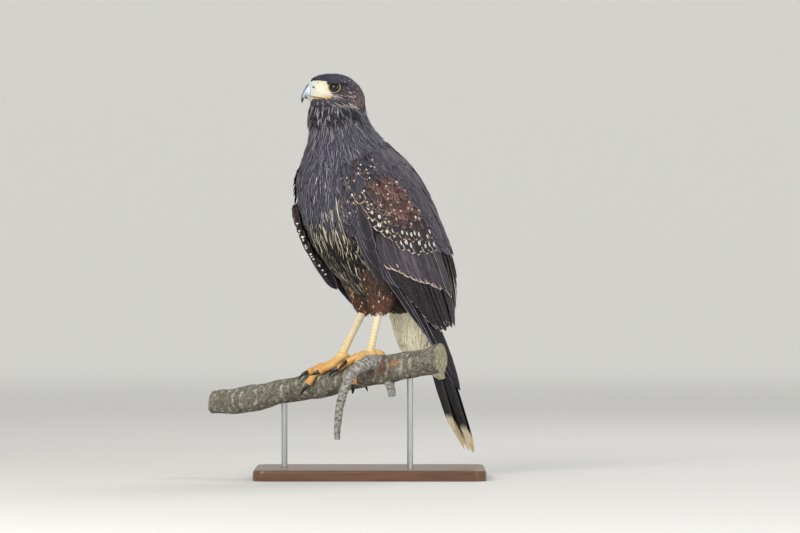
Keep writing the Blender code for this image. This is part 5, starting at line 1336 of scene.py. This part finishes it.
wet, tree, shader = new_material("glass eye", roughness=0.2, specular_ior_level=0.0, coat_weight=1.0, coat_roughness=0.02)
shader.inputs["Coat IOR"].default_value = 1.45
ground = add(tree, "Attribute", attribute_name="ground")
tree.links.new(ground.outputs["Color"], shader.inputs["Base Color"])
turn = np.linspace(0, 2 * np.pi, 65)[:-1]
for name, side in (("left", 1), ("right", -1)):
    centre, axis, across, up = eye_frame(side)
    radial = np.cos(turn)[:, None] * across + np.sin(turn)[:, None] * up
    away = np.linspace(0.01, np.pi - 0.01, 60)[:, None, None]
    size = EYE_RADIUS + 0.35 * np.exp(-((away / 0.5) ** 2))
    rings = centre + size * (np.cos(away) * axis + np.sin(away) * radial)
    spokes = 0.5 + 0.5 * np.sin(turn * 37 + 2 * np.sin(5 * turn))
    tint = blend(linear("#1f120c"), linear("#321c11"), spokes * smooth(0.38, 0.5, away[..., 0]))
    tint = blend(tint, linear("#050404"), smooth(0.43, 0.38, away[..., 0]) + 0 * turn)
    tint = blend(tint, linear("#140c08"), smooth(0.62, 0.72, away[..., 0]) + 0 * turn)
    tube_piece("eyeball_" + name, rings, wet, ("eye_" + name,), head, side < 0, tint, 0.0)

    round_tube = np.linspace(0, 2 * np.pi, 25)[:-1]
    wide = np.stack([LID_HALF_LENGTH * np.cos(turn), LID_HALF_HEIGHT * np.sin(turn)], -1)
    ring = wide[:, :1] * across + wide[:, 1:] * up
    fat = LID_TUBE * (1 + 0.06 * np.sin(turn * 26))[:, None, None]
    rings = centre + axis * 6.3 + ring[:, None] + fat * np.cos(round_tube)[:, None] * radial[:, None]
    rings = rings + 1.3 * fat * np.sin(round_tube)[:, None] * axis
    count = len(turn) * len(round_tube)
    grid = np.arange(count).reshape(len(turn), len(round_tube))
    grid = np.concatenate([grid, grid[:1]])
    grid = np.concatenate([grid, grid[:, :1]], 1)
    faces = quads(grid)[:, ::-1] if side > 0 else quads(grid)
    # The lid ring is painted near black on its inner side, toward the eyeball, and darker over its upper half: painted
    # shade between lid and eye, and under the brow.
    inner = smooth(-0.3, -0.95, np.cos(round_tube))
    tint = blend(linear("#918768"), linear("#1d1710"), inner + 0 * turn[:, None])
    tint = blend(tint, tint * 0.35, smooth(0.2, 0.8, np.sin(turn))[:, None] + 0 * inner)
    piece("eyelid_" + name, head(rings.reshape(-1, 3)), faces, bare, ("head",), 0.0,
          {"ground": tint.reshape(-1, 4)})


# The legs: bare shanks in overlapping horny plates down the front and small round scales behind, and four
# toes, plated above and padded below, that end in black claws. The feet were wired round the branch.
TARSUS_RADII = (6.0, 5.0, 4.7, 5.6)
TOE_RADII = (6.2, 5.2, 4.8, 4.4)
PLATE_PITCH = 4.2
TOE_PLATE_PITCH = 3.2
CLAW_LENGTH = {"inner": 21, "middle": 19, "outer": 16, "hind": 24}
TOES = {
    "left": {
        "inner": ((-9, 4), (-16, 14), (-20, 30)),
        "middle": ((-10, 24), (-21, 36), (-31, 52)),
        "outer": ((-5, 42), (-10, 78), (-12, 114)),
        "hind": ((8, -28), (12, -58), (14, -84)),
    },
    "right": {
        "inner": ((-43, 26), (-51, 32), (-57, 42)),
        "middle": ((-50, 14), (-62, 40), (-70, 80)),
        "outer": ((-50, -6), (-64, 6), (-73, 34)),
        "hind": ((-28, -28), (-23, -58), (-21, -84)),
    },
}
# The perch's centre line across the front of the base: across, up, radius. It runs nearer to the right.
PERCH = np.array([
    [-206, 96, 16.2],
    [-160, 101, 17.0],
    [-112, 112, 16.6],
    [-54, 124, 17.6],
    [-2, 138, 18.6],
    [42, 146, 18.0],
    [92, 157, 19.0],
])
PERCH_TURN = np.tan(np.radians(25.0))
PERCH_FRONT, PERCH_MIDDLE = -12.0, -17.0


def perch_centre(x):
    rows = spline(PERCH[:, 0], PERCH[:, 1:], x)
    return np.stack([x, PERCH_FRONT - (x - PERCH_MIDDLE) * PERCH_TURN, rows[..., 0]], -1), rows[..., 1]


def perch_point(x, angle, out):
    """A point near the perch: the angle runs from its top to its front, out from its bark."""
    x, angle, out = np.broadcast_arrays(*(np.asarray(a, float) for a in (x, angle, out)))
    centre, radius = perch_centre(x)
    front = np.array([-np.sin(np.arctan(PERCH_TURN)), -np.cos(np.arctan(PERCH_TURN)), 0])
    reach = (radius + out)[..., None]
    return centre + reach * (np.cos(angle)[..., None] * (0, 0, 1) + np.sin(angle)[..., None] * front)


def tube_rings(path, radii, around, guide):
    """Rings round a path, whose angle starts on the side nearest to the guide: r(cos a·side + sin a·other)."""
    along = unit(np.gradient(path, axis=0))
    side = guide - along * (guide * along).sum(-1, keepdims=True)
    side = unit(side)
    other = np.cross(side, along)
    angle = np.linspace(0, 2 * np.pi, around + 1)[:-1]
    round_it = side[:, None] * np.cos(angle)[None, :, None] + other[:, None] * np.sin(angle)[None, :, None]
    return path[:, None] + np.asarray(radii)[..., None] * round_it, angle


def same(points):
    return points


def joined(name, tubes, material, replaced, tints, sharp=40.0):
    """Several closed tubes as one piece, each with its own tint."""
    points, faces, colours, start = [], [], [], 0
    for rings, tint in zip(tubes, tints):
        own, sides, caps = skin_of(rings)
        tint = np.broadcast_to(tint, (*rings.shape[:2], 4))
        points.append(own)
        faces += [sides + start, caps + start]
        colours += [tint.reshape(-1, 4), tint[0].mean(0)[None], tint[-1].mean(0)[None]]
        start += len(own)
    return piece(name, np.concatenate(points), faces, material, replaced, sharp,
                 {"ground": np.concatenate(colours)})


scaly, tree, shader = new_material("leg scales", roughness=0.45, subsurface_weight=0.12)
shader.inputs["Subsurface Radius"].default_value = (1.0, 0.5, 0.2)
shader.inputs["Subsurface Scale"].default_value = 0.001
ground = add(tree, "Attribute", attribute_name="ground")
spot = add(tree, "TexVoronoi", {"Vector": add(tree, "TexCoord").outputs["Object"], "Scale": 620.0},
           feature="DISTANCE_TO_EDGE")
groove = add(tree, "MapRange", {"Value": spot.outputs["Distance"], 1: 0.0, 2: 0.12, 3: 0.72, 4: 1.0})
scale_tone = add(tree, "VectorMath", {0: ground.outputs["Color"], "Scale": groove.outputs[0]}, operation="SCALE")
tree.links.new(scale_tone.outputs[0], shader.inputs["Base Color"])
bump = add(tree, "Bump", {"Height": groove.outputs[0], "Strength": 0.4, "Distance": 0.0004})
tree.links.new(bump.outputs["Normal"], shader.inputs["Normal"])
claw_horn, tree, shader = new_material("black claw horn", roughness=0.3, coat_weight=0.25)
ground = add(tree, "Attribute", attribute_name="ground")
tree.links.new(ground.outputs["Color"], shader.inputs["Base Color"])

forward = bird((1.0, 0.0, 0.0)) - bird((0.0, 0.0, 0.0))
for name, leg in LEGS.items():
    share = np.linspace(0, 1, 150)
    top = bird(np.array(leg["knee"], float)) + (0, 0, 6.0)
    path = top + (np.array(leg["ball"], float) - top) * share[:, None]
    length = np.linalg.norm(path[-1] - path[0])
    radii = spline(np.linspace(0, 1, 4), np.array(TARSUS_RADII)[:, None], share)
    _, angle = tube_rings(path, radii, 48, forward)
    facing = smooth(-0.15, 0.35, np.cos(angle))
    step = np.mod(share[:, None] * length / PLATE_PITCH + 0.12 * np.cos(angle), 1)
    radii = radii - 0.3 + facing * (0.55 * step**1.5 - 0.15)
    rings, _ = tube_rings(path, radii, 48, forward)
    seam = facing * smooth(0.86, 0.98, step)
    tint = blend(linear("#f4ead0"), linear("#f0d79f"), share[:, None] + 0 * angle)
    tint = blend(tint, linear("#c2a066"), 0.45 * seam)
    tubes, tints = [rings], [tint]
    joined("shank_" + name, tubes, scaly, ("tarsus_" + name,), tints)

    ball_at = np.array(leg["ball"], float) - (0, 0, 3.0)
    lat = np.linspace(0.02, np.pi - 0.02, 36)[:, None, None]
    lon = np.linspace(0, 2 * np.pi, 49)[:-1, None]
    round_it = np.concatenate([np.sin(lat) * np.cos(lon), np.sin(lat) * np.sin(lon), np.cos(lat) + 0 * lon], -1)
    tubes, tints = [(ball_at + round_it * (8.8, 7.8, 6.8))], [np.array(linear("#ecc684"))]
    for toe, places in TOES[name].items():
        knuckles = [ball_at]
        for (x, degrees), radius in zip(places, TOE_RADII[1:]):
            knuckles.append(perch_point(x, np.radians(degrees), radius * 0.94 + 0.6))
        knuckles = np.array(knuckles)
        heading = unit(knuckles[-1] - knuckles[-2])
        share = np.linspace(0, 1, 110)
        path = spline(np.linspace(0, 1, 4), knuckles, share)
        path = np.concatenate([path, knuckles[-1] + heading * np.linspace(0.3, 3.4, 8)[:, None]])
        radii = spline(np.linspace(0, 1, 4), np.array(TOE_RADII)[:, None], share)[:, 0]
        radii = radii * (1 + 0.07 * np.cos(share * 6 * np.pi))
        radii = np.concatenate([radii, radii[-1] - 1.3 * np.linspace(0, 1, 8) ** 2])
        walked = np.concatenate([[0], np.cumsum(np.linalg.norm(np.diff(path, axis=0), axis=1))])
        centre, _ = perch_centre(path[:, 0])
        outward = unit(path - centre)
        _, angle = tube_rings(path, radii[:, None], 36, outward)
        above = smooth(0.1, 0.5, np.cos(angle))
        step = np.mod(walked[:, None] / TOE_PLATE_PITCH + 0.15 * np.cos(angle), 1)
        pads = 0.5 * smooth(-0.3, -0.8, np.cos(angle)) * (0.5 + 0.5 * np.cos(walked / walked[-1] * 6 * np.pi))[:, None]
        rings, _ = tube_rings(path, radii[:, None] - 0.25 + above * (0.5 * step**1.5 - 0.1) + pads, 36, outward)
        seam = above * smooth(0.84, 0.97, step)
        tint = blend(linear("#ecc27c"), linear("#e3a95f"), smooth(0, walked[-1], walked)[:, None] + 0 * angle)
        tint = blend(tint, linear("#a86f38"), 0.7 * seam)
        tubes.append(rings)
        tints.append(tint)

        inward = centre[-9] - knuckles[-1]
        inward = unit(inward - heading * (inward @ heading))
        bend = np.linspace(0, 1.25, 40)
        radius = CLAW_LENGTH[toe] / 1.25
        start = knuckles[-1] + heading * (TOE_RADII[-1] * 0.55) - inward * 0.6
        path = start + radius * np.sin(bend)[:, None] * (heading * 0.94 - inward * 0.34)
        path = path + radius * (1 - np.cos(bend))[:, None] * (inward * 0.94 + heading * 0.34)
        radii = np.interp(bend, (0, 0.6, 1.1, 1.25), (3.2, 2.3, 1.05, 0.25))[:, None]
        _, angle = tube_rings(path, radii, 24, -inward)
        rings, _ = tube_rings(path, radii * (1 - 0.16 * smooth(-0.4, -0.9, np.cos(angle))), 24, -inward)
        tint = blend(linear("#3a332e"), linear("#0d0d10"), smooth(0.0, 0.35, bend)[:, None] + 0 * angle)
        tube_piece("claw_" + name + "_" + toe, rings, claw_horn, ("claw_" + name + "_" + toe,), same,
                   False, tint)
    joined("toes_" + name, tubes, scaly, ("foot_" + name,), tints)


# The perch: a cut length of a dead branch with weathered grey-brown bark, thin crusts of lichen and pale
# sawn ends, and a dry twig that springs from its front and hangs, beside the stub of another.
TWIG = np.array([
    [12, -32, 149, 11.0],
    [0, -42, 151, 10.0],
    [-10, -49, 147, 8.5],
    [-19, -53, 141, 7.0],
    [-27, -55, 129, 6.2],
    [-34, -55, 113, 5.8],
    [-38, -53, 97, 5.4],
    [-41, -51, 77, 4.8],
    [-42, -50, 52, 3.6],
])
STUB = np.array([[20, -32, 134, 6.5], [27, -36, 118, 5.5], [29, -37, 107, 4.6]])
BARK_COLOURS = {"bark": "#7e786c", "fissure": "#2f2a22", "lichen": "#a9a99b", "moss": "#62644c", "sawn": "#a9a286",
                "worn": "#5a2e26", "inner": "#a98055"}


def wandering(a, b, scale, seed, count=9):
    """An uneven field over two coordinates: a sum of sines of random wavelengths, phases and directions."""
    source = np.random.default_rng(seed)
    total = np.zeros(np.broadcast(a, b).shape)
    for _ in range(count):
        wave, lean, phase = source.uniform(0.5, 2.0), source.uniform(-1, 1), source.uniform(0, 6.28)
        total += np.sin((a * wave * 2 * np.pi / scale) + lean * b * 2 + phase)
    return total / np.sqrt(count)


x = np.linspace(PERCH[0, 0], PERCH[-1, 0], 420)
turn = np.linspace(0, 2 * np.pi, 145)[:-1]
xx, aa = np.meshgrid(x, turn, indexing="ij")
bumps = 0.9 * np.sin(xx * 0.071 + 2 * aa) + 0.7 * np.sin(xx * 0.153 - 3 * aa + 1.0)
knots = 3.2 * np.exp(-(((xx - 2) / 15) ** 2) - ((aa - 1.5) / 0.8) ** 2)
folds = wandering(xx, np.sin(aa) * 6, 60, 1) * 0.25 + wandering(xx, np.cos(aa) * 9, 25, 2) * 0.18
cracks = np.abs(np.sin(aa * 8 + 0.8 * wandering(xx, 0 * aa, 150, 3) + 1.1 * wandering(xx, np.sin(aa) * 7, 14, 4)))
cracks = cracks + 0.5 * smooth(-0.4, 0.8, wandering(xx, np.cos(aa) * 6, 12, 11))
rings = perch_point(xx, aa, bumps + knots + folds - 0.55 * np.exp(-((cracks / 0.22) ** 2)) - 0.2)
inset = np.array([0.985, 0.9, 0.7, 0.45, 0.2, 0.03])[:, None, None]
first, last = rings[0], rings[-1]
rings = np.concatenate([
    (first.mean(0) + (first - first.mean(0)) * inset)[::-1], rings, last.mean(0) + (last - last.mean(0)) * inset])
tint = blend(linear(BARK_COLOURS["bark"]), linear(BARK_COLOURS["fissure"]), np.exp(-((cracks / 0.3) ** 2)) * 0.7)
tint = blend(tint, linear(BARK_COLOURS["moss"]), 0.7 * smooth(-0.2, 1.0, wandering(xx, np.cos(aa) * 4, 40, 6)))
tint = blend(tint, linear(BARK_COLOURS["lichen"]), 0.75 * smooth(0.4, 1.0, wandering(xx, np.sin(aa) * 7, 16, 5)))
worn = np.exp(-(((xx - 18) / 17) ** 4) - ((aa - 1.35) / 0.75) ** 4) * smooth(-1.2, 0.3, wandering(xx, aa * 3, 12, 12))
tint = blend(tint, linear(BARK_COLOURS["worn"]), 0.85 * worn)
tint = blend(tint, linear(BARK_COLOURS["inner"]), 0.8 * np.exp(-(((xx - 40) / 7) ** 4) - ((aa - 1.25) / 0.22) ** 4))
sawn = np.broadcast_to(linear(BARK_COLOURS["sawn"]), (6, 144, 4))
tint = np.concatenate([sawn, tint, sawn])
branches, tints = [rings[:, ::-1]], [tint[:, ::-1]]
for rows, count in ((TWIG, 200), (STUB, 60)):
    rows = spline(np.linspace(0, 1, len(rows)), rows, np.linspace(0, 1, count))
    s, turn = np.linspace(0, 1, count)[:, None] * len(rows), np.linspace(0, 2 * np.pi, 41)[:-1]
    wobble = 1 + 0.05 * wandering(s, np.sin(turn) * 3, 40, 7) + 0.03 * wandering(s, np.cos(turn) * 5, 14, 8)
    rings, _ = tube_rings(rows[:, :3], rows[:, 3:] * wobble, 40, np.array((0.6, -0.76, -0.2)))
    branches.append(rings)
    streak = wandering(s, np.sin(turn) * 4, 18, 9) + wandering(s, np.cos(turn) * 6, 6, 10)
    tints.append(blend(linear("#a5a39e"), linear("#6f6a61"), smooth(-0.6, 1.6, streak)))

bark, tree, shader = new_material("weathered bark", roughness=0.88)
place = add(tree, "TexCoord").outputs["Object"]
ground = add(tree, "Attribute", attribute_name="ground")
fleck = add(tree, "TexNoise", {"Vector": place, "Scale": 330.0, "Detail": 6.0, "Roughness": 0.72, "Distortion": 0.8})
tone = add(tree, "MapRange", {"Value": fleck.outputs["Fac"], 1: 0.36, 2: 0.64, 3: 0.35, 4: 1.5})
barky = add(tree, "VectorMath", {0: ground.outputs["Color"], "Scale": tone.outputs[0]}, operation="SCALE")
tree.links.new(barky.outputs[0], shader.inputs["Base Color"])
bump = add(tree, "Bump", {"Height": fleck.outputs["Fac"], "Strength": 0.8, "Distance": 0.002})
tree.links.new(bump.outputs["Normal"], shader.inputs["Normal"])
joined("branch_and_twig", branches, bark, ("perch",), tints)


# The stand: a flat board of dark stained hardwood with eased edges, and two satin steel rods that rise from it
# into the branch.
stained, tree, shader = new_material("stained hardwood board", roughness=0.38, coat_weight=0.25, coat_roughness=0.2)
place = add(tree, "TexCoord").outputs["Object"]
stretched = add(tree, "Mapping", {"Vector": place, "Scale": (14.0, 160.0, 160.0)})
grain = add(tree, "TexNoise", {"Vector": stretched.outputs[0], "Scale": 1.0, "Detail": 5.0, "Distortion": 0.6})
wood = add(tree, "Mix", {0: grain.outputs["Fac"], 6: linear("#3a2214"), 7: linear("#7a5236")}, data_type="RGBA")
tree.links.new(wood.outputs[2], shader.inputs["Base Color"])
bump = add(tree, "Bump", {"Height": grain.outputs["Fac"], "Strength": 0.08, "Distance": 0.0005})
tree.links.new(bump.outputs["Normal"], shader.inputs["Normal"])
steel, tree, shader = new_material("satin steel rod", roughness=0.32, metallic=1.0)
place = add(tree, "TexCoord").outputs["Object"]
streaks = add(tree, "TexNoise", {"Vector": place, "Scale": 900.0, "Detail": 2.0})
tone = add(tree, "Mix", {0: streaks.outputs["Fac"], 6: linear("#a9abad"), 7: linear("#c6c8ca")}, data_type="RGBA")
tree.links.new(tone.outputs[2], shader.inputs["Base Color"])
for name, material in (("stand_base", stained), ("stand_rod_left", steel), ("stand_rod_right", steel)):
    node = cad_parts[name]
    for place in node.material_slots:
        place.material = material
